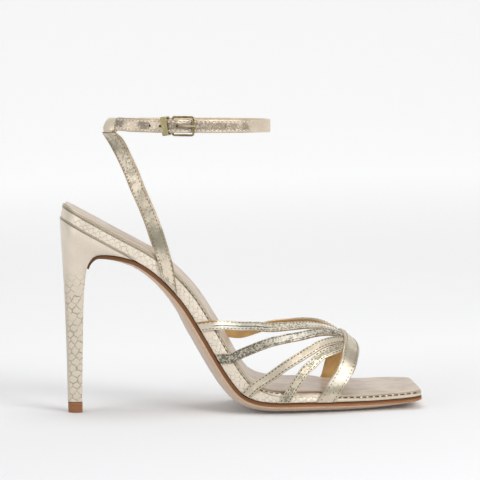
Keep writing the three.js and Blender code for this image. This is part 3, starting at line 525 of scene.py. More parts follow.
tip_grid = tip_section(tip_up, tip_in)
tip_skin = skin(tip_grid, tip_up, girth_from_back(tip_grid))
print("heel tip:", size_of(tip_grid))

# %% [markdown]
# ## Outsole
# The leather sole runs from the toe under the waist and up the breast of the heel as a tongue.
# Its edge is cut square and painted, and its underside bulges where it was pulled over the last.
# One skin makes both the tongue and the sole, so no seam has to be hidden between them.

# %% Outsole
SOLE_EDGE = 1.8
SOLE_DOME = 4.9
dome_shape = table("at dome", [
    (0.200, 0.44), (0.270, 0.52), (0.340, 0.73), (0.410, 0.98), (0.620, 1.00), (0.760, 0.98),
    (0.870, 0.80), (0.940, 0.56), (1.000, 0.32),
])
TONGUE_FROM = 0.53
TONGUE_TAPER = 0.25
TOP_POINTS = 33
DOME_POINTS = 27


def sole_profile(lateral, medial, edge, dome):
    """Across and down for each ring: a flat top, a square edge with its corners eased, and the
    bulge (1 - s^3.6)^(1/1.7) at the share s of the half width."""
    rows = len(lateral)
    s = np.cos(np.linspace(0, np.pi, DOME_POINTS))
    soft = np.concatenate([[0.25, 0.0, 0.0], np.zeros(DOME_POINTS), [0.0, 0.0, 0.25]])
    s_down = np.concatenate([[1, 1, 1], s, [-1, -1, -1]])
    wide_down = np.where(s_down > 0, lateral[:, None], medial[:, None])
    down = np.clip(1 - np.abs(s) ** 3.6, 0, 1) ** (1 / 1.7)
    below = edge[:, None] + dome[:, None] * down
    edges = edge[:, None] * np.array([0.0, 0.12, 0.7])
    n_down = -np.concatenate([edges, below, edges[:, ::-1]], 1)
    y_down = -(wide_down - soft) * s_down
    s_top = np.cos(np.linspace(0.06, np.pi - 0.06, TOP_POINTS))
    wide_top = np.where(s_top > 0, lateral[:, None], medial[:, None])
    y_top = -(wide_top - 0.3) * s_top
    return (np.concatenate([y_top, y_down[:, ::-1]], 1),
            np.concatenate([np.zeros((rows, TOP_POINTS)), n_down[:, ::-1]], 1))


breast_at = np.linspace(TONGUE_FROM, 1, 40)
_, breast, breast_lateral, breast_medial, _ = heel_sections(breast_at)
breast_tangent = unit(np.gradient(breast, axis=0))
breast_inward = breast_tangent[:, ::-1] * [-1, 1, 1]
breast_share = (breast_at - TONGUE_FROM) / (1 - TONGUE_FROM)
taper = 1 - TONGUE_TAPER + TONGUE_TAPER * np.minimum(1, breast_share / 0.25)
tongue_y, tongue_n = sole_profile(breast_lateral * taper, breast_medial * taper,
                                  SOLE_EDGE * (0.5 + 0.5 * breast_share),
                                  SOLE_DOME * dome_shape["dome"][0] * breast_share)
tongue_grid = breast[:, None] + breast_inward[:, None] * (tongue_n - GAP)[..., None]
tongue_grid[..., 1] = tongue_y

sole_at = stations(0, 0, 150)
sole_at = sole_at[sole_at > SEAT_FRONT + 0.02]
sole_y, sole_n = sole_profile(half_width("lateral", sole_at) + 0.4, half_width("medial", sole_at) + 0.4,
                              np.full_like(sole_at, SOLE_EDGE),
                              SOLE_DOME * read(dome_shape, "dome", sole_at))
sole_grid = on_last(sole_at[:, None], sole_y, sole_n - GAP)
outsole_grid = np.concatenate([tongue_grid, sole_grid])
outsole_grid[..., 2] = np.maximum(outsole_grid[..., 2], 0)
outsole_run = run_of(outsole_grid[:, TOP_POINTS // 2])
sole_height = np.concatenate([tongue_n, sole_n])
sole_height = np.append(sole_height, sole_height[:, :1], 1)
outsole_skin = skin(outsole_grid, outsole_run, sole_height)
print(f"outsole and tongue: {outsole_run[-1]:.0f} mm long, {size_of(outsole_grid)}")

# %% [markdown]
# ## How a strap is carried
# Each strap is a band of leather folded over at its edges, so its outer face is slightly crowned
# and its edges are round. A Blender curve with a bevel shape could carry it, but its roll is hard
# to steer. Here every step along the strap has its own frame: the way along, across and outwards.

# %% Strap ways
STRAP = 1.6
STRAP_STEP = 0.55
GROOVE = 0.66


def spline(points, steps):
    """Centripetal curve through the points: knots are spaced by the root of the distance, and each
    stretch is a cubic whose end slopes come from the neighbours."""
    ends = 2 * points[[0, -1]] - points[[1, -2]]
    p = np.concatenate([ends[:1], points, ends[1:]])
    knots = np.sqrt(np.linalg.norm(np.diff(p, axis=0), axis=1))[:, None]
    a, b, c = knots[:-2], knots[1:-1], knots[2:]
    rise = np.diff(p, axis=0)
    first = (rise[:-2] / a - (p[2:-1] - p[:-3]) / (a + b) + rise[1:-1] / b) * b
    final = (rise[1:-1] / b - (p[3:] - p[1:-2]) / (b + c) + rise[2:] / c) * b
    place = np.linspace(0, len(points) - 1, steps)
    i = np.minimum(place.astype(int), len(points) - 2)
    t = (place - i)[:, None]
    h = (3 - 2 * t) * t**2
    return ((1 - h) * points[i] + h * points[i + 1]
            + t * (1 - t) * ((1 - t) * first[i] - t * final[i]))


def carry(points, normals, widths, cuts):
    """Frames along a strap. The outward direction is kept square to the way along it, and near a
    cut end the way across leans over to lie along the cut."""
    points, normals, widths = (np.asarray(rows, float) for rows in (points, normals, widths))
    steps = int(run_of(points)[-1] / STRAP_STEP)
    centre = spline(points, steps)
    tangent = unit(np.gradient(centre, axis=0))
    place = np.linspace(0, len(points) - 1, steps)
    rows = np.arange(len(points))
    normal = np.stack([np.interp(place, rows, normals[:, k]) for k in range(3)], 1)
    normal = unit(normal - tangent * np.sum(normal * tangent, 1, keepdims=True))
    across = unit(np.cross(normal, tangent))
    for end, cut_along in cuts:
        share = np.clip(1 - np.abs(place - end), 0, 1)[:, None]
        slant = cut_along / np.sum(cut_along * across, 1, keepdims=True)
        across = across * (1 - share) + slant * share
    return {"centre": centre, "tangent": tangent, "normal": normal, "across": across,
            "width": np.interp(place, rows, widths), "run": run_of(centre),
            "thick": np.full(steps, STRAP)}


def face_height(share):
    """Outer face across a strap, as a share of half its thickness: crowned by a parabola, falling
    by (1 - s^14)^0.5 round the edge, with a shallow bell curve as channel for the stitches."""
    edge = 0.3 + 0.7 * (1 - np.abs(share) ** 14) ** 0.5
    crown = 0.06 * (1 - share**2)
    channel = 0.09 * np.exp(-(((np.abs(share) - GROOVE) / 0.06) ** 2))
    return edge + crown - channel


strap_shares = np.array([0.2, 0.4, 0.55, 0.66, 0.72, 0.78, 0.85, 0.92, 0.965, 0.99, 1.0])
strap_shares = np.concatenate([-strap_shares[::-1], [0], strap_shares])


def strap_rings(way):
    """Outer face out across the strap, inner face back, at each frame."""
    half_wide, half_thick = way["width"] / 2, way["thick"] / 2
    outer = face_height(strap_shares)
    inner = 0.3 + 0.66 * (1 - np.abs(strap_shares) ** 14) ** 0.5
    a = np.concatenate([strap_shares, strap_shares[::-1]])
    b = np.concatenate([outer, -inner[::-1]])
    return (way["centre"][:, None] + way["across"][:, None] * (a * half_wide[:, None])[..., None]
            + way["normal"][:, None] * (b * half_thick[:, None])[..., None])


strap_slots = np.concatenate([np.zeros(len(strap_shares)), np.ones(len(strap_shares))]).astype(int)
strap_slots[[len(strap_shares), -2, -1]] = 0


def strap_skin(way):
    """The strap's skin: outer face and edges in the first finish, inner face in the lining."""
    across = np.concatenate([strap_shares, strap_shares[::-1], strap_shares[:1]])
    return skin(strap_rings(way), way["run"], across * way["width"][:, None] / 2, slots=strap_slots)


# %% [markdown]
# ## Stitches
# The straps are sewn along both edges, and at arm's length the stitches read as rows of dashes.
# A painted dash has no thickness and vanishes from the side, so each stitch is a small grain of
# mesh. There are many hundreds, so a grain has only a few dozen faces and a row is made at once.

# %% Stitches
STITCH_HIGH = 0.36
STITCH_START = 1.2
GRAIN_POINTS = 8
grain_along = np.array([-1, -0.8, -0.35, 0.35, 0.8, 1])
grain_round = np.array([0.35, 0.85, 1, 1, 0.85, 0.35])
grain_turn = np.linspace(0, 2 * np.pi, GRAIN_POINTS + 1)[:-1]


def stitch_row(way, share, pitch, length=0.62, wide=0.5, stop=1.2):
    """Grains along one line of a strap. share is the place across it, from -1 to 1, and length the
    part of the pitch that shows. Each section is an ellipse, and a quarter of the grain's height
    lies below the leather."""
    places = np.arange(STITCH_START, way["run"][-1] - stop, pitch)

    def between(values):
        """Values of the way's frames at the grains' places."""
        return np.stack([np.interp(places, way["run"], column) for column in values.T], -1)
    height = face_height(share) * way["thick"] / 2
    line = (way["centre"] + way["across"] * (share * way["width"] / 2)[:, None]
            + way["normal"] * height[:, None])
    centre, tangent = between(line), unit(between(way["tangent"]))
    across, normal = unit(between(way["across"])), unit(between(way["normal"]))
    along = grain_along[:, None] * np.ones(GRAIN_POINTS) * pitch * length / 2
    side = grain_round[:, None] * np.cos(grain_turn) * wide / 2
    up = grain_round[:, None] * np.sin(grain_turn) * STITCH_HIGH / 2 + STITCH_HIGH * 0.25
    local = np.stack([along, side, up], -1)
    basis = np.stack([tangent, across, normal], 1)
    points = centre[:, None, None] + np.einsum("rcl,slx->srcx", local, basis)
    return [skin(grain, grain_along, np.linspace(0, 1, GRAIN_POINTS + 1)) for grain in points]


# %% [markdown]
# ## Forefoot straps
# Four straps rise from the outer edge and one from the inner edge, and all run to the top of the
# toe band. They lie on a foot that isn't there, so the foot comes first: over each section of the
# footbed an arch whose height and fullness follow the instep. The straps are then lines on it.

# %% The foot under the straps
INSTEP = 42
ARCH = 2 / 2.3
TURN_NEAR = 1.5
WALL_PLAY = 0.1
instep_shape = table("along top narrow", [
    (0.430, 1.900, 0.32), (0.494, 1.810, 0.30), (0.535, 1.690, 0.28), (0.575, 1.550, 0.23),
    (0.621, 1.380, 0.17), (0.661, 1.270, 0.12), (0.707, 1.180, 0.07), (0.744, 1.100, 0.03),
    (0.7775, 1.000, 0.01), (0.810, 0.867, 0), (0.828, 0.780, 0), (0.860, 0.620, 0),
])
fine_at = np.linspace(0, 1, 2001)
fine_top = on_last(fine_at, 0, rim_top(fine_at) + GAP + SOCK)


def foot_point(along, turn):
    """Over the footbed at along, an arch |cos|^(2/2.3) wide and sin^(2/2.3) high at the angle
    turn, from 0 at the outer side to 180 at the inner side."""
    x = BACK_X + FOOT_SPAN * along
    at = np.interp(x, fine_top[:, 0], fine_at)
    base = np.interp(x, fine_top[:, 0], fine_top[:, 2])
    rise = INSTEP * read(instep_shape, "top", along, by="along") - base
    c, s = np.cos(np.radians(turn)), np.sin(np.radians(turn))
    reach = np.where(turn < 90, half_width("lateral", at), half_width("medial", at)) + GAP + STRAP / 2
    inward = 1 - read(instep_shape, "narrow", along, by="along") * s
    y = -np.sign(c) * reach * inward * np.abs(c) ** ARCH
    return np.stack([x, y, base + rise * s**ARCH], -1)


def foot_normal(along, turn):
    """Square to the ways along and over the foot, each taken between two points near by."""
    forwards = foot_point(along + NEAR, turn) - foot_point(along - NEAR, turn)
    over = foot_point(along, turn + TURN_NEAR) - foot_point(along, turn - TURN_NEAR)
    return unit(np.cross(forwards, over))


def side_wall(side, at, n):
    """Where a strap lies on the rim's wall: its middle, its outward direction and the wall's way."""
    def wall(place):
        """The wall's point at a place along the last."""
        return on_last(place, SIGN[side] * half_width(side, place), n)
    along = unit(wall(at + 2 * NEAR) - wall(at - 2 * NEAR))
    tangent = last_tangent(at)
    up = np.array([-tangent[1], 0, tangent[0]])
    outward = -SIGN[side] * unit(np.cross(along, up))
    return wall(at) + outward * (GAP + WALL_PLAY + STRAP / 2), outward, along


def rim_end(side, foot, edge, tuck):
    """A strap's low and high point on the wall, their outward ways, and the way of its cut."""
    low, low_out, along = side_wall(side, foot, tuck)
    high, high_out, _ = side_wall(side, edge, rim_top(edge))
    return np.stack([low, high]), np.stack([low_out, high_out]), along


PARED_OVER = 5.0
PARED_TO = 0.55


def thinned(way, start):
    """Pares a strap's inner half down towards its cut end, where it goes in above the sole."""
    distance = way["run"] if start else way["run"][-1] - way["run"]
    thick = STRAP * (PARED_TO + (1 - PARED_TO) * ease(distance, 0, PARED_OVER))
    way["centre"] = way["centre"] - way["normal"] * ((way["thick"] - thick) / 2)[:, None]
    way["thick"] = thick
    return way


print(f"foot: {INSTEP * instep_shape['top'].max():.0f} mm over the floor at the rear strap")

# %% Strap lines
WIDTH = 5.4
BAND = 12.4
TUCK = 0.2
BAND_FOOT = 0.76

# Each line: the strap's side, its two places along the last at the rim's foot and top edge, how
# high its cut end lies, and its points over the foot, as a share along it and an angle over it.
strap_lines = {
    "strap_outer_back": ("lateral", 0.405, 0.418, TUCK, [
        (0.451, 10), (0.492, 23), (0.534, 32), (0.577, 38), (0.620, 47), (0.664, 57), (0.709, 66),
        (0.744, 73), (0.778, 80), (0.806, 84)]),
    "strap_outer_second": ("lateral", 0.488, 0.503, TUCK, [
        (0.495, 7), (0.537, 19), (0.576, 27), (0.617, 35), (0.658, 43), (0.699, 52), (0.741, 62),
        (0.780, 72), (0.808, 76)]),
    "strap_outer_third": ("lateral", 0.592, 0.607, 2 * TUCK, [
        (0.572, 6), (0.611, 14), (0.651, 23), (0.683, 31), (0.714, 40), (0.748, 50), (0.785, 63),
        (0.810, 69)]),
    "strap_outer_front": ("lateral", 0.680, 0.692, TUCK, [
        (0.648, 7), (0.668, 14), (0.689, 20), (0.711, 28), (0.733, 34), (0.757, 41), (0.782, 50),
        (0.806, 57)]),
    "strap_inner": ("medial", 0.455, 0.470, TUCK, [
        (0.511, 164), (0.555, 155), (0.600, 145), (0.661, 131), (0.707, 119), (0.744, 107),
        (0.778, 98), (0.806, 92)]),
}
# The band's points over the foot also have their width, as a share, and their lift over the straps.
band_line = [
    (0.767, 13, 0.74, 0.1), (0.785, 26, 0.76, 0.4), (0.796, 44, 0.80, 0.85),
    (0.804, 64, 0.87, 0.85), (0.806, 90, 0.90, 0.85), (0.805, 116, 0.88, 0.85),
    (0.801, 138, 0.81, 0.6), (0.795, 154, 0.78, 0.3), (0.784, 167, 0.76, 0.1),
]
band_feet = [("lateral", 0.774, 0.783), ("medial", 0.803, 0.812)]


def vamp_way(side, foot, edge, tuck, over):
    """From the rim's wall over the foot."""
    foot_points, outward, cut = rim_end(side, foot, edge, tuck)
    along, turn = np.array(over).T
    points = np.vstack([foot_points, foot_point(along, turn)])
    normals = np.vstack([outward, foot_normal(along, turn)])
    way = carry(points, normals, np.full(len(points), WIDTH), cuts=[(0, cut)])
    return thinned(way, start=True)


def band_way():
    """From rim to rim, lifted over the ends of the other straps."""
    along, turn, wide, lift = np.array(band_line).T
    normals = foot_normal(along, turn)
    over = foot_point(along, turn) + normals * (lift * STRAP)[:, None]
    first, last = (rim_end(*foot, TUCK) for foot in band_feet)
    points = np.vstack([first[0], over, last[0][::-1]])
    normals = np.vstack([first[1], normals, last[1][::-1]])
    widths = BAND * np.concatenate([[BAND_FOOT] * 2, wide, [BAND_FOOT] * 2])
    way = carry(points, normals, widths, cuts=[(0, first[2]), (len(points) - 1, last[2])])
    return thinned(thinned(way, start=True), start=False)


vamp_ways = {name: vamp_way(*line) for name, line in strap_lines.items()}
vamp_ways["toe_band"] = band_way()
for name, way in vamp_ways.items():
    print(f"{name}: {way['run'][-1]:.1f} mm long")

# %% [markdown]
# ## Ankle strap
# One long strap starts at the buckle on the outer side, runs back through the loop behind the
# heel, round the inner side and the front, through the buckle and under the keeper, and ends as
# a tail with holes. Its way round the ankle is a formula: an ellipse that is pinched and leans
# forward behind the heel. Over the buckle the second turn rises by a smooth step and falls again.

# %% The way round the ankle
ANKLE_LONG = 90.4
ANKLE_BROAD = 58
ANKLE_HALF = np.array([ANKLE_LONG / 2 - STRAP, ANKLE_BROAD / 2 - STRAP])
ANKLE_CENTRE = 67.4
ANKLE_HEIGHT = 159
ANKLE_PINCH = 0.5
ANKLE_LEAN = 28
HIGHER_BEHIND = 1.15
HIGHER_OUTSIDE = 0.45
ANKLE_STEP = 0.7
ANKLE_WIDTH = 7.4
LOOP_STRAP = 5.6
LOOP_HALF = 24
NECK_FROM = 6
NECK_TO = 16
TIP_ROUND = 2.2
TIP_LEAST = 0.45
TAIL_FALL = 2.4
TAIL_SHORT = 1.4
BAR = 1.2
BAR_CORNER = 0.3
FRAME_LENGTH = 12.8
FRAME_HEIGHT = 11.2
FRAME_RIGHT = 69
FRAME_LEFT = FRAME_RIGHT - FRAME_LENGTH
PRONG = 0.6


def ankle_place(angle, out, up=0.0):
    """Point, outward and upward directions at an angle, from 0 in front over 90 at the outer side
    to 180 behind, at a distance out from the strap's inner face."""
    angle, out, up = np.broadcast_arrays(np.asarray(angle, float), out, up)
    c, s = np.cos(np.radians(angle)), np.sin(np.radians(angle))
    behind = np.maximum(0, -c)
    narrow = 1 - ANKLE_PINCH * behind**2
    bend = c * (narrow + np.where(behind > 0, s**2, 0))
    facing = unit(np.stack([ANKLE_HALF[1] * bend, -ANKLE_HALF[0] * s, 0 * c], -1))
    lean = np.radians(ANKLE_LEAN) * behind**4
    level, rise = np.cos(lean)[..., None], np.sin(lean)[..., None]
    normal = facing * level + np.array([0, 0, 1]) * rise
    across = -facing * rise + np.array([0, 0, 1]) * level
    point = np.stack([ANKLE_CENTRE + ANKLE_HALF[0] * c, -ANKLE_HALF[1] * s * narrow,
                      ANKLE_HEIGHT - HIGHER_BEHIND * c + HIGHER_OUTSIDE * s], -1)
    return point + normal * out[..., None] + across * up[..., None], normal, across


def ankle_angle(x):
    """Angle on the outer side at a level distance x."""
    return np.degrees(np.arccos((x - ANKLE_CENTRE) / ANKLE_HALF[0]))


# The strap's start is pared and rolled round the hinge bar, and its tail has to climb over that.
ROLLED_LEATHER = 0.45
hinge_x = FRAME_LEFT + BAR / 2
roll_inside = math.hypot(BAR / 2, BAR / 2 - BAR_CORNER) + GAP
roll_outside = roll_inside + ROLLED_LEATHER
layer_step = STRAP + GAP
over_roll = STRAP / 2 + roll_outside + GAP
rise_from = 360 + ankle_angle(FRAME_RIGHT - BAR - GAP)
rise_top = 360 + ankle_angle(hinge_x)
rise_to = 360 + ankle_angle(hinge_x - roll_outside - TAIL_FALL)
tail_end = 540 - LOOP_HALF - TAIL_SHORT


def ankle_layer(angle):
    """How far out the strap's inner face lies: up over the rolled end by 6 t^5 - 15 t^4 + 10 t^3,
    then down on the layer."""
    t = np.clip((angle - rise_from) / (rise_top - rise_from), 0, 1)
    up = t**3 * (t * (6 * t - 15) + 10)
    down = ease(angle, rise_top, rise_to)
    return over_roll * up * (1 - down) + layer_step * down


def ankle_way(start, end):
    """Frames of the strap between two angles."""
    angle = np.linspace(start, end, int(abs(end - start) / ANKLE_STEP) + 2)
    centre, normal, across = ankle_place(angle, ankle_layer(angle) + STRAP / 2)
    tangent = unit(np.gradient(centre, axis=0))
    normal = unit(normal - tangent * np.sum(normal * tangent, 1, keepdims=True))
    return {"centre": centre, "tangent": tangent, "normal": normal, "across": across,
            "width": ankle_width(angle), "run": run_of(centre), "thick": np.full(len(angle), STRAP)}


def ankle_width(angle):
    """Full width, narrowed in a smooth step where the strap runs through the loop."""
    neck = 1 - ease(np.abs(angle - 180), LOOP_HALF + NECK_FROM, LOOP_HALF + NECK_TO)
    return ANKLE_WIDTH + (LOOP_STRAP - ANKLE_WIDTH) * neck


strap_start = ankle_angle(hinge_x - roll_inside / 2)
ankle = ankle_way(strap_start, tail_end)
from_tip = np.clip((ankle["run"][-1] - ankle["run"]) / TIP_ROUND, 0, 1)
ankle["width"] = ankle["width"] * (TIP_LEAST + (1 - TIP_LEAST) * np.sqrt(1 - (1 - from_tip) ** 2))
print(f"ankle strap: {ankle['run'][-1]:.0f} mm, tail from {rise_to:.0f} to {tail_end:.0f} degrees")

# %% [markdown]
# ## Buckle
# A square frame of round brass bar turns on the strap's rolled end, and its prong goes up through
# a hole and rests on the far bar. A torus primitive has the wrong outline and a bevelled curve an
# uneven corner, so the bar's section is carried round a rounded rectangle by formula.

# %% Buckle frame
FRAME_CORNER = 1.1
hinge_bar = ankle_place(ankle_angle(hinge_x), STRAP / 2)[0]
far_bar = ankle_place(ankle_angle(FRAME_RIGHT - BAR / 2), STRAP + GAP + BAR / 2)[0]
frame_along = unit(far_bar - hinge_bar)
frame_up = unit(np.array([0, 0, 1]) - frame_along * frame_along[2])
frame_out = unit(np.cross(frame_along, frame_up))
between_bars = (hinge_bar + far_bar) / 2


def rounded_path(width, height, corner):
    """Places and outward directions round a rectangle with quarter circles at its corners."""
    per_corner, per_side = 9, 6
    turns = np.radians(np.linspace(0, 90, per_corner))[None] + np.radians([0, 90, 180, 270])[:, None]
    centres = np.array([(1, 1), (-1, 1), (-1, -1), (1, -1)]) * [width / 2 - corner, height / 2 - corner]
    out = np.stack([np.cos(turns), np.sin(turns)], -1)
    arcs = centres[:, None] + corner * out
    nexts = np.roll(arcs[:, 0], -1, axis=0)
    share = np.linspace(0, 1, per_side + 2)[1:-1, None]
    sides = arcs[:, -1][:, None] * (1 - share) + nexts[:, None] * share
    side_out = np.repeat(out[:, -1][:, None], per_side, axis=1)
    path = np.concatenate([arcs, sides], 1).reshape(-1, 2)
    outward = np.concatenate([out, side_out], 1).reshape(-1, 2)
    return path, outward


def bar_loop(path, outward, section, origin, axes):
    """A section (out, deep) carried round a flat closed path in the plane of the first two axes."""
    flat = path[:, None] + outward[:, None] * section[None, :, :1]
    deep = np.broadcast_to(section[None, :, 1:], flat.shape[:2] + (1,))
    rings = origin + np.concatenate([flat, deep], 2) @ np.stack(axes)
    closed = run_of(np.vstack([path, path[:1]]))[:-1]
    edge = run_of(np.vstack([section, section[:1]]))
    return skin(rings, closed, edge, closed=True)


def soft_square(wide, deep, power, count=20):
    """A superellipse section, |a|^power + |b|^power = 1."""
    turn = np.linspace(0, 2 * np.pi, count + 1)[:-1] + np.pi / count
    c, s = np.cos(turn), np.sin(turn)
    scale = (np.abs(c) ** power + np.abs(s) ** power) ** (-1 / power)
    return np.stack([c * scale * wide / 2, s * scale * deep / 2], -1)


frame_path, frame_outward = rounded_path(FRAME_LENGTH - BAR, FRAME_HEIGHT - BAR, FRAME_CORNER)
frame_skin = bar_loop(frame_path, frame_outward, soft_square(BAR, BAR, 3), between_bars,
                      (frame_along, frame_up, frame_out))
print(f"buckle: a frame of {FRAME_LENGTH} x {FRAME_HEIGHT} mm, bent from a {BAR} mm bar")

# %% Prong
PRONG_TIP = 1.6
PRONG_GIRTH = 3.8
PRONG_BLUNT = 0.35
PRONG_POINTS = 16
PRONG_STEPS = 60
prong_start = FRAME_LEFT + BAR + GAP + PRONG
prong_x = np.array([prong_start, prong_start + 0.05 * FRAME_LENGTH, prong_start + 0.1 * FRAME_LENGTH,
                    prong_start + 0.25 * FRAME_LENGTH, FRAME_RIGHT - 0.3 * FRAME_LENGTH,
                    FRAME_RIGHT - BAR, FRAME_RIGHT + GAP])
prong_over = over_roll + STRAP + GAP + PRONG
prong_rest = STRAP + GAP + BAR + GAP + PRONG
prong_out = np.array([0.2 * STRAP, 0.8 * STRAP, 1.8 * STRAP, prong_over,
                      0.7 * prong_over + 0.3 * prong_rest, prong_rest, prong_rest])
prong_line = spline(ankle_place(ankle_angle(prong_x), prong_out)[0], PRONG_STEPS)


def prong_rings(radius, tip):
    """Round sections along the prong, drawn in by a quarter circle to a blunt point."""
    tangent = unit(np.gradient(prong_line, axis=0))
    side = unit(np.cross(tangent, [0, 0, 1]))
    up = np.cross(side, tangent)
    run = run_of(prong_line)
    left = np.clip((run[-1] - run) / tip, 0, 1)
    wide = radius * (PRONG_BLUNT + (1 - PRONG_BLUNT) * np.sqrt(1 - (1 - left) ** 2))
    turn = np.linspace(0, 2 * np.pi, PRONG_POINTS + 1)[:-1] + np.pi / PRONG_POINTS
    circle = side[:, None] * np.cos(turn)[:, None] + up[:, None] * np.sin(turn)[:, None]
    return prong_line[:, None] + circle * wide[:, None, None], run


prong_grid, prong_run = prong_rings(PRONG, PRONG_TIP)
prong_skin = skin(prong_grid, prong_run, np.linspace(0, PRONG_GIRTH, PRONG_POINTS + 1))
print(f"prong: {prong_run[-1]:.1f} mm long")

# %% Keeper
KEEPER = 3.4
KEEPER_WALL = 1.0
KEEPER_CORNER = 0.6
KEEPER_TILT = 6
KEEPER_PLAY = 0.5
keeper_angle = ankle_angle(FRAME_LEFT - 2 * GAP - KEEPER / 2)
stack = over_roll + STRAP
keeper_point, keeper_normal, keeper_up = ankle_place(keeper_angle, stack / 2)
keeper_way = unit(np.cross(keeper_normal, keeper_up))
tilt = math.radians(KEEPER_TILT)
keeper_axes = (keeper_normal, keeper_up * math.cos(tilt) + keeper_way * math.sin(tilt),
               keeper_way * math.cos(tilt) - keeper_up * math.sin(tilt))
keeper_high = ANKLE_WIDTH + 2 * GAP + KEEPER_PLAY + KEEPER_WALL
keeper_path, keeper_outward = rounded_path(stack + 2 * GAP + KEEPER_WALL, keeper_high, KEEPER_CORNER)
keeper_skin = bar_loop(keeper_path, keeper_outward, soft_square(KEEPER_WALL, KEEPER, 5, 28),
                       keeper_point, keeper_axes)
print(f"keeper: {KEEPER} mm wide, {np.ptp(keeper_path[:, 1]):.1f} mm high")

# %% [markdown]
# ## Sling
# Two straps rise from the waist, one on each side, and meet behind the heel in a flat loop that
# the ankle strap runs through. They hang free between those two places, so their line is set by
# a few points in space with the direction that the strap faces there.

# %% Sling straps and loop
SLING = 7.8
LOOP_WALL = 0.6
LOOP_BULGE = 1.1
LOOP_DROP = 1.3
LOOP_STEPS = 70
LOOP_POINTS = 36
LOOP_MIDDLE = 4
SLING_FOOT = 0.291
SLING_EDGE = 0.252
MEET_ANGLE = 12

# Each free point: along as a share of the foot's span, across as a share of half the ankle's
# width, up as a share of the ankle's height, the way it faces in degrees, and its width.
sling_path = np.array([
    (0.2740, 0.598, 0.870, 8, 1.00), (0.2625, 0.646, 0.868, 12, 1.00), (0.2425, 0.714, 0.820, 17, 1.01),
    (0.2194, 0.784, 0.725, 24, 1.05), (0.2040, 0.837, 0.610, 31, 1.11), (0.1870, 0.887, 0.480, 38, 1.18),
    (0.1675, 0.938, 0.330, 46, 1.28),
])
loop_inside = np.array([LOOP_STRAP + 2 * GAP, STRAP + 2 * GAP])
loop_outside = loop_inside + 2 * LOOP_WALL


def sling_way(side):
    """One half: up the rim's wall, through the free points and onto the loop's lower edge."""
    sign = SIGN[side]
    foot_points, outward, foot_cut = rim_end(side, SLING_FOOT, SLING_EDGE, TUCK)
    along, up, out, facing, wide = sling_path.T
    turned = np.radians(facing)
    free = np.stack([BACK_X + FOOT_SPAN * along, sign * out * ANKLE_BROAD / 2, up * ANKLE_HEIGHT], 1)
    free_out = np.stack([-np.sin(turned), sign * np.cos(turned), 0 * turned], 1)
    meet, meet_out, meet_up = ankle_place(180 + sign * MEET_ANGLE, STRAP / 2,
                                          (LOOP_WALL - loop_outside[0]) / 2 - LOOP_DROP)
    points = np.vstack([foot_points, free, meet])
    normals = np.vstack([outward, free_out, meet_out])
    widths = SLING * np.concatenate([[0.85, 1], wide, [1.06]])
    top_cut = np.cross(meet_up, meet_out)
    way = carry(points, normals, widths, cuts=[(0, foot_cut), (len(points) - 1, top_cut)])
    return thinned(way, start=True)


def loop_rings(size, power):
    """A flat rounded tube round the ankle strap, carried along the strap's own way. It hangs a
    little below the strap and bulges outwards by a parabola each way, away from its two mouths."""
    angle = np.linspace(180 - LOOP_HALF, 180 + LOOP_HALF, LOOP_STEPS)
    centre, normal, across = ankle_place(angle, STRAP / 2)
    up, out = soft_square(*size, power, LOOP_POINTS).T[:, None, :, None]
    closed = (1 - ((angle - 180) / LOOP_HALF) ** 2)[:, None, None]
    out = out + (out > 0) * LOOP_BULGE * closed * np.clip(1 - (2 * up / loop_outside[0]) ** 2, 0, 1)
    up = up - LOOP_DROP * (up < 0) * np.clip(closed * 3, 0, 1)
    return centre[:, None] + across[:, None] * up + normal[:, None] * out, centre


loop_outer, loop_line = loop_rings(loop_outside, 5)
loop_inner, _ = loop_rings(loop_inside, 7)
loop_around = run_of(soft_square(*loop_outside, 5, LOOP_POINTS))
loop_around = np.append(loop_around, loop_around[-1] * 2 - loop_around[-2]) - LOOP_MIDDLE
loop_skin = sleeve(loop_outer, loop_inner, run_of(loop_line), loop_around, slots=(2, 1))
sling_ways = {side: sling_way(side) for side in ("lateral", "medial")}
print(f"sling: {sling_ways['lateral']['run'][-1]:.0f} mm on the outer side")

# %% [markdown]
# ## Writing shader maths as sums
# A leather with scales, specks and grain needs dozens of small maths nodes. Placed by hand they
# are hard to follow, so one class stands for a socket and lets Python's operators add the nodes.
# Numbers that don't change over the surface are set on the shader itself.


# %% A value over the surface
class Field:
    """A socket's value over the surface. Sums and products of fields add Math nodes."""

    def __init__(self, finish, socket):
        self.finish, self.socket = finish, socket

    def math(self, operation, *others):
        """A Math node on this field and up to two others."""
        node = self.finish.node("ShaderNodeMath", {"operation": operation}, (self, *others))
        return Field(self.finish, node.outputs[0])

    def __add__(self, other):
        return self.math("ADD", other)

    __radd__ = __add__

    def __mul__(self, other):
        return self.math("MULTIPLY", other)

    __rmul__ = __mul__

    def __sub__(self, other):
        return self.math("SUBTRACT", other)

    def __rsub__(self, other):
        return self * -1 + other

    def __truediv__(self, other):
        return self.math("DIVIDE", other)

    def __abs__(self):
        return self.math("ABSOLUTE")

    def between(self, low, high):
        """0 at low, 1 at high and smooth between; low may be the larger of the two."""
        settings = {"interpolation_type": "SMOOTHSTEP"}
        values = {"Value": self, "From Min": low, "From Max": high}
        return Field(self.finish, self.finish.node("ShaderNodeMapRange", settings, values).outputs[0])

    def within(self, start, full, ebb, end):
        """0 before start, 1 from full to ebb, and 0 again past end."""
        return self.between(start, full) * (1 - self.between(ebb, end))

    def near(self, full, end):
        """1 no further than full from zero, 0 further than end."""
        return 1 - abs(self).between(full, end)


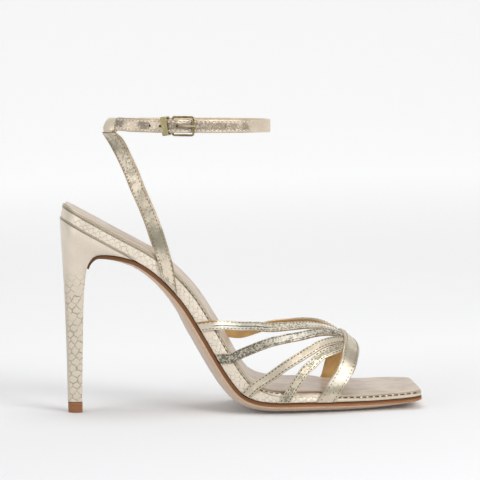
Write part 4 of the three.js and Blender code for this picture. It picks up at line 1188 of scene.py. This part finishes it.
# %% A material under way
class Finish:
    """A material under way: its tree, its coordinates in mm and its shader."""

    def __init__(self, name):
        self.material = bpy.data.materials.new(name)
        self.material.use_nodes = True
        self.tree = self.material.node_tree
        self.shader = self.tree.nodes["Principled BSDF"]
        on_skin = self.node("ShaderNodeUVMap", {"uv_map": "skin"}).outputs[0]
        in_space = self.node("ShaderNodeTexCoord").outputs["Object"]
        self.place = self.scaled(in_space, (1 / MM, 1 / MM, 1 / MM))
        self.along, self.across = self.parts(self.scaled(on_skin, (1 / MM, 1 / MM, 0)))[:2]

    def node(self, kind, settings=None, values=()):
        """Any node: its settings first, then the values or links of its sockets."""
        made = self.tree.nodes.new(kind)
        for key, value in (settings or {}).items():
            setattr(made, key, value)
        self.fill(made, values if isinstance(values, dict) else dict(enumerate(values)))
        return made

    def fill(self, node, values):
        """Links or sets each named or numbered socket. A colour is given without its alpha."""
        for key, value in values.items():
            socket = node.inputs[key]
            if isinstance(value, Field):
                value = value.socket
            if isinstance(value, bpy.types.NodeSocket):
                self.tree.links.new(value, socket)
            else:
                socket.default_value = (*value, 1) if socket.type == "RGBA" else value

    def scaled(self, vector, by):
        """A vector with each part multiplied."""
        return self.node("ShaderNodeVectorMath", {"operation": "MULTIPLY"}, (vector, by)).outputs[0]

    def parts(self, vector):
        """The X, Y and Z of a vector, as fields."""
        made = self.node("ShaderNodeSeparateXYZ", None, (vector,))
        return [Field(self, socket) for socket in made.outputs]

    def joined(self, x, y):
        """A flat vector of two fields or numbers."""
        return self.node("ShaderNodeCombineXYZ", None, (x, y)).outputs[0]

    def noise(self, vector, size, detail=3.0, rough=0.55):
        """Cloudy values from about 0.25 to 0.75, with features of the given size in mm."""
        values = {"Vector": vector, "Scale": 1 / size, "Detail": detail, "Roughness": rough}
        return Field(self, self.node("ShaderNodeTexNoise", None, values).outputs["Fac"])

    def cells(self, vector, size, feature="F1", output="Distance"):
        """Voronoi cells of the given size in mm."""
        values = {"Vector": vector, "Scale": 1 / size}
        made = self.node("ShaderNodeTexVoronoi", {"feature": feature}, values)
        return Field(self, made.outputs[output])

    def mix(self, share, first, second):
        """A colour between two others."""
        values = {0: share, 6: first, 7: second}
        return self.node("ShaderNodeMix", {"data_type": "RGBA"}, values).outputs[2]

    def done(self, colour, rough, metal=0.0, height=None, **more):
        """Fills the shader, whose other sockets may be named too, and gives the material. height is
        in mm."""
        values = {key.replace("_", " "): value for key, value in more.items()}
        values |= {"Base Color": colour, "Roughness": rough, "Metallic": metal}
        if height is not None:
            raised = {"Height": height, "Distance": MM, "Strength": 1.0}
            values["Normal"] = self.node("ShaderNodeBump", None, raised).outputs[0]
        self.fill(self.shader, values)
        print(f"finish {self.material.name}: {len(self.tree.nodes)} nodes")
        return self.material


# %% [markdown]
# ## Gold leather
# The upper leather is goat or calf with a metallic foil pressed on and a snake pattern printed
# over it. The foil's uneven tone and painted dark reflections give soft cream and olive patches,
# the print gives dark specks that gather in clouds, and the whole is creased with a fine grain.
# The straps differ only in how much of each they show, so one recipe with a few amounts makes
# all of them.

# %% Gold leather
CREAM = (0.76, 0.66, 0.515)
OLIVE = (0.36, 0.315, 0.225)
SILVER = (0.86, 0.81, 0.70)
CHARCOAL = (0.075, 0.07, 0.045)
SEAM_BROWN = (0.30, 0.25, 0.16)
EDGE_TAN = (0.50, 0.37, 0.23)


def gold_leather(name, base=CREAM, dusk=0.4, specks=0.0, where=None, fine=1.0, ink=CHARCOAL, streaks=0.0,
                 seam=None, sewn=0.25, metal=0.62, rough=0.34, crinkle=1.0, accent=None):
    """dusk is the depth of the olive patches, partly the foil's uneven tone and partly painted dark
    reflections, specks the share printed dark where the print is dense, where the print's density,
    fine the size of a speck, streaks the strength of brushed lines along the strap, seam the half
    width that is sewn and sewn how dark the channel is."""
    f = Finish(name)
    u, v = f.along, f.across
    # Olive patches: partly the foil's uneven tone, partly painted dark reflections.
    patches = f.noise(f.place, 9, 2.0).between(0.38, 0.66)
    colour = f.mix(patches * dusk, base, OLIVE)
    glints = f.noise(f.joined(u * 0.5, v), 2.2 * fine, 3.0).between(0.52, 0.7)
    colour = f.mix(glints * 0.55, colour, SILVER)
    grain = f.cells(f.place, 0.42).between(0.0, 0.6)
    height = grain * 0.02 + f.noise(f.place, 1.3, 4.0, 0.6) * 0.16 * crinkle
    shine = patches * 0.10 + rough - glints * 0.06
    if streaks:
        brushed = f.noise(f.joined(u * 0.06, v), 0.45, 3.0).between(0.35, 0.65)
        colour = f.mix(brushed * streaks, colour, OLIVE)
        height = height + brushed * 0.02
    if specks:
        dense = where(f)
        flat = f.joined(u, v * 1.2)
        scales = f.cells(flat, 1.15 * fine, "F1", "Color")
        edges = f.cells(flat, 1.15 * fine, "DISTANCE_TO_EDGE")
        bits = f.noise(f.place, 0.6 * fine, 2.0)
        printed = (scales + bits * 0.5 + dense * specks).between(1.15, 1.22)
        outline = (1 - edges.between(0.04, 0.16)) * dense.between(0.35, 0.8) * 0.8
        dark = printed.math("MAXIMUM", outline)
        colour = f.mix(scales.between(0.35, 0.7) * dense * 0.5, colour, SILVER)
        colour = f.mix(dark * 0.85, colour, ink)
        height = height - dark * 0.05
        shine = shine + dark * 0.12
    if seam:
        channel = (abs(v) - seam).near(0.1, 0.5)
        colour = f.mix(channel * sewn, colour, SEAM_BROWN)
        edge = abs(v).between(seam + 0.45, seam + 0.8)
        colour = f.mix(edge * 0.45, colour, EDGE_TAN)
    if accent:
        colour = accent(f, colour)
    return f.done(colour, shine, metal, height)


# %% Where the print is dense
# The tail's clouds of print: their distance from its tip and their half length in mm.
tail_clouds = [(3.5, 5), (20, 5), (36, 6), (56, 29)]


def in_clouds(f):
    """Print that gathers in a few clouds on the tail and in chance ones round the ankle."""
    left = ankle["run"][-1] - f.along
    dense = f.noise(f.place, 9, 2.0).between(0.50, 0.62) * left.between(72, 80)
    for middle, half in tail_clouds:
        dense = dense.math("MAXIMUM", (left - middle).near(half * 0.3, half))
    return dense * f.across.near(1.3, 2.6) * f.noise(f.place, 3.5, 2.0).between(0.16, 0.46)


def from_the_foot(f):
    """Dense print above the rim that thins out along the strap."""
    chance = f.noise(f.place, 4, 2.0).between(0.40, 0.58)
    return ((1 - f.along.between(18, 34)) * 0.9).math("MAXIMUM", chance * 0.75)


def in_the_middle(f):
    """Print between the two rows of stitches."""
    return f.across.near(0.8, 1.5) * f.noise(f.place, 6, 2.0).between(0.36, 0.50)


def past_the_arch(f):
    """Print on the rear strap's second half only."""
    return f.along.within(24, 34, 58, 66) * 0.8


def over_the_sling(f):
    """Faint crackle in patches."""
    return f.noise(f.place, 5, 2.0).between(0.42, 0.60) * 0.8


# %% What is special on each strap
LINE_BLACK = (0.07, 0.075, 0.05)
FOOT_CREAM = (0.66, 0.57, 0.45)
UPPER_SHADE = (0.30, 0.28, 0.20)
FOLD_OCHRE = (0.38, 0.23, 0.06)
# Painted glint colour on the bare foil of the second strap.
FOIL_GLINT = (0.92, 0.90, 0.83)
# Painted shade and highlight on the bent feet of the toe band.
BEND_SHADE = (0.36, 0.31, 0.235)
BEND_HIGHLIGHT = (0.90, 0.86, 0.79)
BEND_SHADOW = (0.24, 0.22, 0.155)
# Painted highlight where the ankle strap turns round the front of the ankle.
FRONT_HIGHLIGHT = (0.86, 0.73, 0.565)
SLING_TAN = (0.42, 0.29, 0.15)
# Painted shade and painted dark reflections on the sling.
SLING_SHADE_BROWN = (0.22, 0.15, 0.075)
SLING_DARK_REFLECTION = (0.20, 0.18, 0.125)


def centre_line(f, colour):
    """The dark line along the rear strap, its creamy foot on the rim and the ochre fold there."""
    u, v = f.along, f.across
    wander = v + 0.35 + (f.noise(f.joined(u, 0.0), 2.0) - 0.5) * 0.6
    line = wander.near(0.15, 0.5) * u.within(5, 9, 36, 46)
    colour = f.mix(line * 0.9, colour, LINE_BLACK)
    colour = f.mix(0.7 - u.between(7, 11), colour, FOOT_CREAM)
    upper = v.between(0.5, 0.9) * u.within(6, 9, 34, 44)
    colour = f.mix(upper * 0.3, colour, UPPER_SHADE)
    fold = v.between(1.75, 2.1) * (1 - u.between(9, 11))
    return f.mix(fold, colour, FOLD_OCHRE)


def silver_middle_glints(f, colour):
    """The foil is left bare in the middle of the second strap, and painted glints lighten it in flakes."""
    bare = f.along.within(26, 36, 50, 62) * f.across.near(1.2, 1.8)
    glint_flakes = f.noise(f.joined(f.along, f.across * 0.4), 1.1, 2.0).between(0.40, 0.52)
    # Painted glints: near-white flakes over the bare foil.
    return f.mix(bare * glint_flakes * 0.4, colour, FOIL_GLINT)


def painted_bend_light(f, colour):
    """Painted light on each foot of the toe band: a painted highlight on the bend, painted shade above it
    and painted shade in the crease below.
    """
    up = f.parts(f.place)[2] + f.noise(f.place, 1.6, 3.0) * 5 - 2.5
    # By height: painted shade above the bend, a painted highlight on it, painted shade below it.
    colour = f.mix(up.within(20, 23, 28, 36) * 0.55, colour, BEND_SHADE)
    colour = f.mix(up.within(15, 17.5, 20, 23) * 0.4, colour, BEND_HIGHLIGHT)
    return f.mix(up.within(10, 12, 13.5, 16.5) * 0.6, colour, BEND_SHADOW)


def painted_front_highlight(f, colour):
    """A painted highlight makes the ankle strap paler where it turns round the front of the ankle."""
    return f.mix(f.parts(f.place)[0].between(97, 103) * 0.7, colour, FRONT_HIGHLIGHT)


def sling_painted_dark(f, colour):
    """Two olive patches of painted dark reflection on the sling, below the loop and above the rim,
    and its tan edges, which are darkened brown by painted shade on the turned edge at the foot
    and by a painted shadow line at the seam below the loop."""
    up = f.parts(f.place)[2] + (f.noise(f.place, 2.0, 3.0) * 8 - 4)
    upper = (up - 149).near(1, 6)
    lower = (up - 98).near(3, 11)
    dusk = (upper * 0.6).math("MAXIMUM", lower)
    colour = f.mix(abs(f.across).between(3.3, 3.7) * 0.6, colour, SLING_TAN)
    turned = f.across.between(-2.75, -3.05) * (1 - f.along.between(13, 17))
    top = sling_ways["lateral"]["run"][-1]
    seam = f.along.between(top - 1.1, top - 0.8)
    # Painted shade on the turned edge at the foot and a painted shadow line below the loop.
    colour = f.mix(turned.math("MAXIMUM", seam) * 0.8, colour, SLING_SHADE_BROWN)
    # Painted dark reflections in two olive patches.
    return f.mix(dusk * 0.7, colour, SLING_DARK_REFLECTION)


# %% The upper leathers
vamp_seam = WIDTH * GROOVE / 2
gold = gold_leather("gold_smooth", base=(0.655, 0.57, 0.44), dusk=0.35, rough=0.38, seam=vamp_seam)
gold_lined = gold_leather("gold_lined", base=SILVER, dusk=0.4, specks=0.36, where=past_the_arch, fine=0.7,
                          ink=(0.26, 0.22, 0.14), seam=vamp_seam, accent=centre_line)
gold_speckled = gold_leather("gold_speckled", base=(0.67, 0.61, 0.495), dusk=0.5, specks=0.5,
                             where=from_the_foot, fine=0.8, seam=vamp_seam, accent=silver_middle_glints)
gold_flecked = gold_leather("gold_flecked", base=(0.67, 0.585, 0.45), dusk=0.35, specks=0.5,
                            where=in_the_middle, fine=0.7, ink=(0.20, 0.185, 0.12), seam=vamp_seam)
gold_band = gold_leather("gold_satin", base=(0.63, 0.55, 0.425), dusk=0.25, streaks=0.25, metal=0.6,
                         rough=0.33, crinkle=0.8, seam=BAND * GROOVE / 2, accent=painted_bend_light)
gold_sling = gold_leather("gold_sling", dusk=0.4, specks=0.4, where=over_the_sling, fine=0.7,
                          ink=(0.36, 0.32, 0.23), streaks=0.1, crinkle=2.2, metal=0.5, rough=0.36,
                          accent=sling_painted_dark)
gold_ankle = gold_leather("gold_ankle", base=(0.61, 0.51, 0.395), dusk=0.4, specks=0.75, where=in_clouds,
                          fine=0.62, ink=(0.235, 0.19, 0.14), seam=ANKLE_WIDTH * GROOVE / 2, sewn=0.7,
                          accent=painted_front_highlight)
gold_keeper = gold_leather("gold_keeper", base=(0.40, 0.335, 0.145), dusk=0.3, crinkle=0.3, rough=0.4)
gold_loop = gold_leather("gold_loop", dusk=0.15, crinkle=0.5, metal=0.4, rough=0.42)

# %% [markdown]
# ## Scales on the rim and the heel
# The wall of the footbed and the lower heel carry a printed net: thin grey lines round six-sided
# scales, each a little raised. A picture of a net would blur when seen close, so its cells are
# worked out as distances, and a slow noise bends them and fades their lines here and there.

# %% Scales
PALE = (0.80, 0.705, 0.585)
SCALE_SHADE = (0.56, 0.48, 0.37)
NET_GREY = (0.255, 0.22, 0.165)


def honeycomb(u, v, long, wide):
    """Distance in mm to the nearest side of a six-sided cell. Two grids of middles are set half a
    cell apart. A side lies where two middles are equally near, or half a cell from the nearest."""
    def grid(shift):
        """Place within a cell, and its squared distance from the middle."""
        centred = [(value / size + shift).math("WRAP", 0.5, -0.5) * size
                   for value, size in ((u, long), (v, wide))]
        return centred, centred[0] * centred[0] + centred[1] * centred[1]
    (au, av), a_square = grid(0.0)
    (bu, bv), b_square = grid(0.5)
    apart = math.hypot(long / 2, wide / 2)
    to_other = abs(a_square - b_square) / (2 * apart)
    nearer = b_square.math("LESS_THAN", a_square)
    near_u = abs(au) + (abs(bu) - abs(au)) * nearer
    near_v = abs(av) + (abs(bv) - abs(av)) * nearer
    own = (wide / 2 - near_v).math("MINIMUM", long / 2 - near_u)
    return to_other.math("MINIMUM", own)


def net_leather(name, long, wide, keep, line, depth, accent):
    """A honeycomb of the given cell on plain gold. keep gives, from the finish, where it shows."""
    f = Finish(name)
    bend_u = (f.noise(f.place, 5, 2.0) - 0.5) * 3.4
    bend_v = (f.noise(f.scaled(f.place, (-1, 1, -1)), 5, 2.0) - 0.5) * 3.4
    border = honeycomb(f.along + bend_u, f.across + bend_v, long, wide)
    wobble = f.noise(f.place, 0.8, 2.0) * 0.35 - 0.17
    lines = 1 - (border + wobble).between(0.02, line)
    shown = lines * keep(f) * f.noise(f.place, 4.5, 2.0).between(0.32, 0.52)
    patches = f.noise(f.place, 14, 2.0).between(0.4, 0.7)
    colour = f.mix(patches * 0.2, PALE, SCALE_SHADE)
    colour = f.mix(f.noise(f.place, 1.1).between(0.5, 0.75) * 0.4, colour, SILVER)
    colour = f.mix(shown * depth, colour, NET_GREY)
    colour = accent(f, colour)
    raised = border.between(0.0, 0.9) * keep(f)
    grain = f.cells(f.place, 0.42).between(0.0, 0.6)
    height = raised * 0.06 + grain * 0.015 - shown * 0.05
    return f.done(colour, patches * 0.08 + 0.40, 0.35, height)


def rim_shown(f):
    """Along the wall from just behind the seat to the ball; the toe is plain."""
    return f.along.within(4, 9, 0.74 * last_length, 0.79 * last_length)


def heel_shown(f):
    """The lower two thirds of the heel, fading upwards and towards its back."""
    return (1 - f.along.between(58, 76)) * abs(f.across).between(2.2, 3.8)


# %% Edges and seams of the rim, and the heel's back
SEAM_DOWN = 1.35
TURNED_TAN = (0.57, 0.485, 0.365)
TURNED_HIGHLIGHT = (0.74, 0.66, 0.54)
SEAM_BLACK = (0.17, 0.14, 0.085)
TOE_DULL = (0.48, 0.41, 0.30)
FOLD_SHADE = (0.30, 0.25, 0.17)
HEEL_DULL = (0.49, 0.43, 0.33)
HEEL_BACK_REFLECTION = (0.34, 0.31, 0.23)


def at_ball(f):
    """1 along the ball of the foot, as shares of the last's length, and 0 behind and ahead."""
    return f.along.within(*(share * last_length for share in (0.60, 0.68, 0.77, 0.81)))


def rim_edges(f, colour):
    """The turned edge above its dark seam, wider on the bevel at the ball and paler there as a
    painted highlight, painted shade in the fold where the rim meets the heel, and the duller toe."""
    u, v = f.along, f.across
    ball = at_ball(f)
    from_seam = v - ball * 2.2 - SEAM_DOWN
    # At the ball the turned edge is paler: a painted highlight.
    turned = f.mix(ball, TURNED_TAN, TURNED_HIGHLIGHT)
    colour = f.mix(1 - from_seam.between(-0.25, -0.05), colour, turned)
    from_middle = abs(from_seam) + u.between(60, 100) * 0.3
    seam = (1 - from_middle.between(0.45, 0.75)) * (u.between(30, 75) * 0.1 + 0.8) * (1 - ball * 0.5)
    colour = f.mix(seam, colour, SEAM_BLACK)
    colour = f.mix(u.between(0.78 * last_length, 0.83 * last_length) * 0.5, colour, TOE_DULL)
    # Painted shade in the fold where the rim meets the heel.
    shade_in_fold = v.within(6.2, 7.0, 8.5, 9) * (1 - u.between(40, 50))
    return f.mix(shade_in_fold * 0.75, colour, FOLD_SHADE)


def heel_back(f, colour):
    """The cover darkens a little downwards, and a painted dark reflection runs down the middle of the
    back.
    """
    colour = f.mix((1 - f.along.between(45, 90)) * 0.4, colour, HEEL_DULL)
    # Painted dark reflection down the middle of the back.
    return f.mix(f.across.near(0.3, 4.6) * 0.25, colour, HEEL_BACK_REFLECTION)


gold_rim = net_leather("gold_net", 4.0, 3.3, rim_shown, 0.22, 0.65, rim_edges)
gold_heel = net_leather("gold_scales", 6.4, 4.8, heel_shown, 0.46, 1.0, heel_back)

# %% [markdown]
# ## Lining, sock, sole, rubber, brass and thread
# These are plain materials, but none of them is one colour. The lining is matt and mottled, the
# sock is a satin leather with a faint brushed sheen, the sole is painted dark at its edge and raw
# below, the rubber shows its two layers, the brass is lightly scratched and the thread is twisted.

# %% Lining and sock
SOCK_LIGHT = (0.57, 0.465, 0.37)
SOCK_DARK = (0.48, 0.385, 0.30)
SOCK_SHEEN = (0.64, 0.565, 0.47)
SOCK_TURNED = (0.60, 0.51, 0.39)
SOCK_CUT = (0.26, 0.15, 0.07)


def lining_leather(name, light, dark):
    """Matt leather in two slowly mixed tones, with a fine grain."""
    f = Finish(name)
    mottle = f.noise(f.place, 6).between(0.35, 0.7)
    colour = f.mix(mottle, light, dark)
    grain = f.cells(f.place, 0.5).between(0, 0.6)
    return f.done(colour, mottle * 0.1 + 0.52, 0.05, grain * 0.02 + f.noise(f.place, 1.5) * 0.03)


def sock_finish():
    """across is the distance from the sheet's edge: turned over, but cut and brown at the ball."""
    f = Finish("sock_satin")
    u, v = f.along, f.across
    mottle = f.noise(f.place, 12, 2.0).between(0.35, 0.7)
    brushed = f.noise(f.joined(u * 0.05, v), 0.5).between(0.35, 0.7)
    colour = f.mix(mottle, SOCK_LIGHT, SOCK_DARK)
    colour = f.mix(brushed * 0.3, colour, SOCK_SHEEN)
    ball = at_ball(f)
    colour = f.mix((1 - v.between(0.5, 1.1)) * (1 - ball), colour, SOCK_TURNED)
    colour = f.mix((1 - v.between(0.35, 0.75)) * ball * 0.85, colour, SOCK_CUT)
    grain = f.cells(f.place, 0.4).between(0, 0.6)
    return f.done(colour, mottle * 0.1 + 0.36, 0.3, grain * 0.015 + brushed * 0.01)


lining = lining_leather("ochre_lining", (0.56, 0.35, 0.135), (0.44, 0.26, 0.09))
pale_lining = lining_leather("tan_lining", (0.62, 0.50, 0.35), (0.50, 0.38, 0.25))
sock_leather = sock_finish()

# %% Sole and rubber
EDGE_LIGHT = (0.36, 0.165, 0.072)
EDGE_BROWN = (0.28, 0.12, 0.048)
EDGE_SHADE_UNDER_RIM = (0.15, 0.055, 0.018)
EDGE_WAIST = (0.14, 0.055, 0.018)
SOLE_LIGHT = (0.65, 0.48, 0.34)
SOLE_DARK = (0.57, 0.41, 0.29)
SOLE_WORN = (0.62, 0.53, 0.46)
RUBBER_LIGHT = (0.30, 0.125, 0.045)
RUBBER_DARK = (0.235, 0.09, 0.03)
RUBBER_JOINT = (0.12, 0.045, 0.018)


def sole_finish():
    """across is the height above the sole's upper face, below zero everywhere on the sole, so the
    painted edge can be told from the raw bulge."""
    f = Finish("sole_leather")
    below = -1 * f.across
    streak = f.noise(f.joined(f.along * 0.08, below), 0.5).between(0.3, 0.7)
    fibres = f.noise(f.place, 1.4, 4.0)
    edge = f.mix(streak, EDGE_BROWN, EDGE_LIGHT)
    # The top of the edge, under the rim, is darkened as painted shade.
    edge = f.mix(below.between(1.2, 0.6), edge, EDGE_SHADE_UNDER_RIM)
    waist = 1 - f.parts(f.place)[0].between(85, 125)
    edge = f.mix(waist * 0.8, edge, EDGE_WAIST)
    under = f.mix(fibres.between(0.35, 0.7), SOLE_LIGHT, SOLE_DARK)
    under = f.mix(below.between(3.0, 5.0) * 0.8, under, SOLE_WORN)
    rubbed = below.between(SOLE_EDGE + 0.05, SOLE_EDGE + 0.35)
    colour = f.mix(rubbed, edge, under)
    return f.done(colour, rubbed * 0.1 + 0.46, 0.0, fibres * 0.05, Specular_IOR_Level=0.25)


def rubber_finish():
    """Finely specked, with a dark joint between its two layers."""
    f = Finish("tip_rubber")
    up = f.parts(f.place)[2]
    specks = f.noise(f.place, 0.5, 3.0)
    colour = f.mix(specks.between(0.4, 0.7), RUBBER_LIGHT, RUBBER_DARK)
    colour = f.mix((up - 4.1).near(0.05, 0.22) * 0.6, colour, RUBBER_JOINT)
    return f.done(colour, specks * 0.2 + 0.45, 0.0, specks * 0.06)


sole_leather = sole_finish()
rubber = rubber_finish()


# %% Brass and thread
def brass_finish(name, light, dark, rough=0.12):
    """Metal with fine scratches and dull clouds; rough is the roughness between the scratches."""
    f = Finish(name)
    scratches = f.noise(f.scaled(f.place, (1, 1, 6)), 1.2, 4.0)
    dull = f.noise(f.place, 3.0, 2.0).between(0.4, 0.65)
    colour = f.mix(dull, light, dark)
    return f.done(colour, scratches * 0.2 + rough, 1.0, scratches * 0.02)


def thread_finish(name, light, dark):
    """Two tones twisted round the thread, by a sine of the way along and round it."""
    f = Finish(name)
    twist = (f.along * 3.0 + f.across * 2.0).math("SINE").between(-1, 1)
    colour = f.mix(twist, light, dark)
    return f.done(colour, twist * 0.1 + 0.55, 0.0, twist * 0.03)


brass = brass_finish("pale_brass", (0.40, 0.33, 0.17), (0.22, 0.18, 0.08))
worn_brass = brass_finish("worn_brass", (0.40, 0.33, 0.22), (0.25, 0.20, 0.12), rough=0.4)
thread = thread_finish("pale_thread", (0.80, 0.76, 0.66), (0.62, 0.57, 0.46))
brown_thread = thread_finish("brown_thread", (0.26, 0.19, 0.105), (0.17, 0.12, 0.06))
dark_thread = thread_finish("dark_thread", (0.09, 0.075, 0.045), (0.045, 0.038, 0.022))

# %% [markdown]
# ## Putting the sandal together
# Each skin becomes one object that takes the place of its solid and rides on the sandal's body.

# %% Footbed, heel and sole
make("rim", [rim_skin], [gold_rim], "footbed_rim")
make("sock", [sock_skin], [sock_leather], "sock_lining")
make("high_heel", [heel_skin], [gold_heel], "heel")
make("top_piece", [tip_skin], [rubber], "heel_tip")
make("sole", [outsole_skin], [sole_leather], "outsole")

# %% [markdown]
# ## Holes
# The tail has punched holes, and the prong goes through one. They are real holes: round pegs and
# a tube along the prong are cut from the strap. A Boolean modifier does the cut, and its result
# becomes the strap's mesh.

# %% Holes in the ankle strap
HOLE = 0.75
PRONG_PLAY = 0.2
PEG_PLAY = 1.0
PEG_POINTS = 14
hole_angles = 360 + np.array([119.3, 111.4, 85.9, 76.7, 66.3])


def peg(angle):
    """A round peg through the strap at an angle, from 1 mm inside it to 1 mm outside."""
    turn = np.linspace(0, 2 * np.pi, PEG_POINTS + 1)[:-1]
    depth = np.array([-PEG_PLAY, STRAP + PEG_PLAY]) + ankle_layer(angle)
    middle, normal, across = ankle_place(np.full(2, angle), depth)
    tangent = np.cross(normal, across)
    circle = tangent[:, None] * np.cos(turn)[:, None] + across[:, None] * np.sin(turn)[:, None]
    return skin(middle[:, None] + circle * HOLE, np.array([0, 1.0]), np.zeros(PEG_POINTS + 1))


def cut_out(piece, cutters):
    """Takes closed skins away from a piece and keeps the result as its mesh."""
    cutter = make("cutter", cutters, list(piece.data.materials), None)
    modifier = piece.modifiers.new("holes", "BOOLEAN")
    modifier.object, modifier.operation, modifier.solver = cutter, "DIFFERENCE", "EXACT"
    ready = piece.evaluated_get(bpy.context.evaluated_depsgraph_get())
    mesh = bpy.data.meshes.new_from_object(ready)
    piece.modifiers.clear()
    piece.data = mesh
    bpy.data.objects.remove(cutter)
    print(f"{piece.name}: {len(mesh.polygons)} faces after the cut")


ankle_piece = make("ankle_band", [strap_skin(ankle)], [gold_ankle, pale_lining], "ankle_strap")
prong_tunnel, tunnel_run = prong_rings(PRONG + PRONG_PLAY, PRONG_PLAY)
pegs = [peg(angle) for angle in hole_angles]
cut_out(ankle_piece, pegs + [skin(prong_tunnel, tunnel_run, np.zeros(PRONG_POINTS + 1))])

# %% Straps, sling and buckle
strap_finish = {
    "strap_outer_back": gold_lined, "strap_outer_second": gold_speckled, "strap_outer_third": gold,
    "strap_outer_front": gold_flecked, "strap_inner": gold_flecked, "toe_band": gold_band,
}
for name, way in vamp_ways.items():
    make(name, [strap_skin(way)], [strap_finish[name], lining], "vamp_straps")
sling_skins = [strap_skin(way) for way in sling_ways.values()] + [loop_skin]
make("sling", sling_skins, [gold_sling, pale_lining, gold_loop], "heel_sling")
make("frame_of_buckle", [frame_skin], [brass], "buckle_frame")
make("prong_of_buckle", [prong_skin], [worn_brass], "buckle_prong")
make("keeper_loop", [keeper_skin], [gold_keeper], "strap_keeper")

# %% Rows of stitches on the straps
ANKLE_PITCH = 2.35
STRAP_PITCH = 2.1
SLING_ROW = 0.72


def sew(name, finish, ways, pitch, row=GROOVE, **size):
    """One piece with a row along each edge of some straps, at the share row of their half width."""
    grains = sum((stitch_row(way, share, pitch, **size) for way in ways for share in (row, -row)), [])
    make(name, grains, [finish], None)
    print(f"{name}: {len(grains)} stitches, {pitch} mm apart")


sew("ankle_stitches", thread, [ankle], ANKLE_PITCH)
sew("sling_stitches", brown_thread, sling_ways.values(), STRAP_PITCH, SLING_ROW, length=0.5, stop=4)
dark_sewn = [vamp_ways[name] for name in ("strap_outer_second", "strap_outer_third", "strap_outer_front")]
sew("strap_dark_stitches", dark_thread, dark_sewn, STRAP_PITCH, length=0.52, wide=0.56)
brown_sewn = [vamp_ways[name] for name in ("strap_outer_back", "strap_inner", "toe_band")]
sew("strap_brown_stitches", brown_thread, brown_sewn, STRAP_PITCH, length=0.52)

# %% Rows of stitches on the rim
WAIST_PITCH = 3.0
TOE_PITCH = 3.6


def along_rim(start, end, steps, side):
    """A way along the rim's bevel, a quarter of an ellipse, where its seam lies."""
    at = np.linspace(start, end, steps)
    sign = SIGN[side]
    inset, drop = RIM * read(rim_shape, "inset", at), RIM * read(rim_shape, "drop", at)
    bend = np.minimum(np.pi / 2, SEAM_DOWN * 2 / (inset + drop))
    y = sign * (half_width(side, at) - inset * (1 - np.sin(bend)))
    centre = on_last(at, y, rim_top(at) - drop * (1 - np.cos(bend)))
    tangent = unit(np.gradient(centre, axis=0))
    up = unit(np.cross(tangent, [0, 1, 0]))
    normal = up * np.cos(bend)[:, None] + np.array([0, sign, 0]) * np.sin(bend)[:, None]
    none = np.zeros(steps)
    return {"centre": centre, "tangent": tangent, "normal": normal, "width": none, "thick": none,
            "across": unit(np.cross(normal, tangent)), "run": run_of(centre)}


rim_grains = []
for side in ("lateral", "medial"):
    rim_grains += stitch_row(along_rim(0.30, 0.70, 160, side), 0.0, WAIST_PITCH, wide=0.62)
for side in ("lateral", "medial"):
    rim_grains += stitch_row(along_rim(0.80, 0.99, 90, side), 0.0, TOE_PITCH, length=0.74, wide=0.8)
make("rim_stitches", rim_grains, [dark_thread], None)
print(f"rim: {len(rim_grains)} stitches")

# %% [markdown]
# ## Floor and light
# The photograph has a plain pale ground that runs up into its background, a soft main light from
# the upper right and weaker light from all round. A floor that curves up behind has no horizon.

# %% Floor
SWEEP_ROUND = 1.5
SWEEP_FROM = 2.2
FLOOR_HALF = 5.0
bend = np.linspace(0, np.pi / 2, 24)
level_y = [-4.0, -1.0, 0.0, 1.0]
sweep_y = np.concatenate([level_y, SWEEP_FROM + SWEEP_ROUND * np.sin(bend), [SWEEP_FROM + SWEEP_ROUND]])
sweep_z = np.concatenate([[0, 0, 0, 0], SWEEP_ROUND - SWEEP_ROUND * np.cos(bend), [5.0]])
left = np.stack([np.full_like(sweep_y, -FLOOR_HALF), sweep_y, sweep_z], 1)
sweep = np.concatenate([left, left * [-1, 1, 1]])
rows = len(sweep_y)
row = np.arange(rows - 1)
floor_faces = np.stack([row, row + rows, row + rows + 1, row + 1], 1)
floor_mesh = bpy.data.meshes.new("floor")
floor_mesh.from_pydata(sweep.tolist(), [], floor_faces.tolist())
floor_mesh.shade_smooth()
floor = bpy.data.objects.new("floor", floor_mesh)
bpy.context.collection.objects.link(floor)
print(f"floor: {2 * FLOOR_HALF} m wide, rounded up behind by {SWEEP_ROUND} m")

# %% Ground paper
PAPER = (0.76, 0.76, 0.76)
GLOW_FRONT = (0.02, 0.02, 0.02)
GLOW_BEHIND = (0.115, 0.115, 0.11)
GLOW_FAR = (0.505, 0.505, 0.50)
paper = Finish("pale_ground")
distance = paper.parts(paper.place)[1]
near_glow = paper.mix(distance.between(0, 300), GLOW_FRONT, GLOW_BEHIND)
glow = paper.mix(distance.between(-300, 2400), near_glow, GLOW_FAR)
ground = paper.done(PAPER, 0.8, Emission_Color=glow, Emission_Strength=1.0, Specular_IOR_Level=0.1)
floor_mesh.materials.append(ground)

# %% Light
LIT_POINT = np.array([0.09, 0, 0.08])


def soft_box(name, at, energy, size):
    """A square area light in metres that looks at the shoe."""
    data = bpy.data.lights.new(name, "AREA")
    data.energy, data.size = energy, size
    box = bpy.data.objects.new(name, data)
    bpy.context.collection.objects.link(box)
    away = unit(np.array(at) - LIT_POINT)
    side = unit(np.cross([0, 0, 1], away))
    axes = np.stack([side, np.cross(away, side), away], 1)
    box.matrix_world = Matrix.Translation(at) @ Matrix(axes.tolist()).to_4x4()
    print(f"{name}: {energy} W over {size} m")


soft_box("main_light", (0.8, -1.0, 0.68), 11.5, 0.6)
soft_box("left_light", (-1.2, -0.7, 0.5), 5, 0.8)
soft_box("top_light", (0.1, 0.05, 1.5), 9, 0.9)
world = bpy.data.worlds.new("studio")
bpy.context.scene.world = world
world.use_nodes = True
sky = world.node_tree.nodes["Background"].inputs
sky["Color"].default_value = (0.95, 0.96, 1.0, 1)
sky["Strength"].default_value = 0.37
bpy.context.scene.view_settings.view_transform = "Standard"
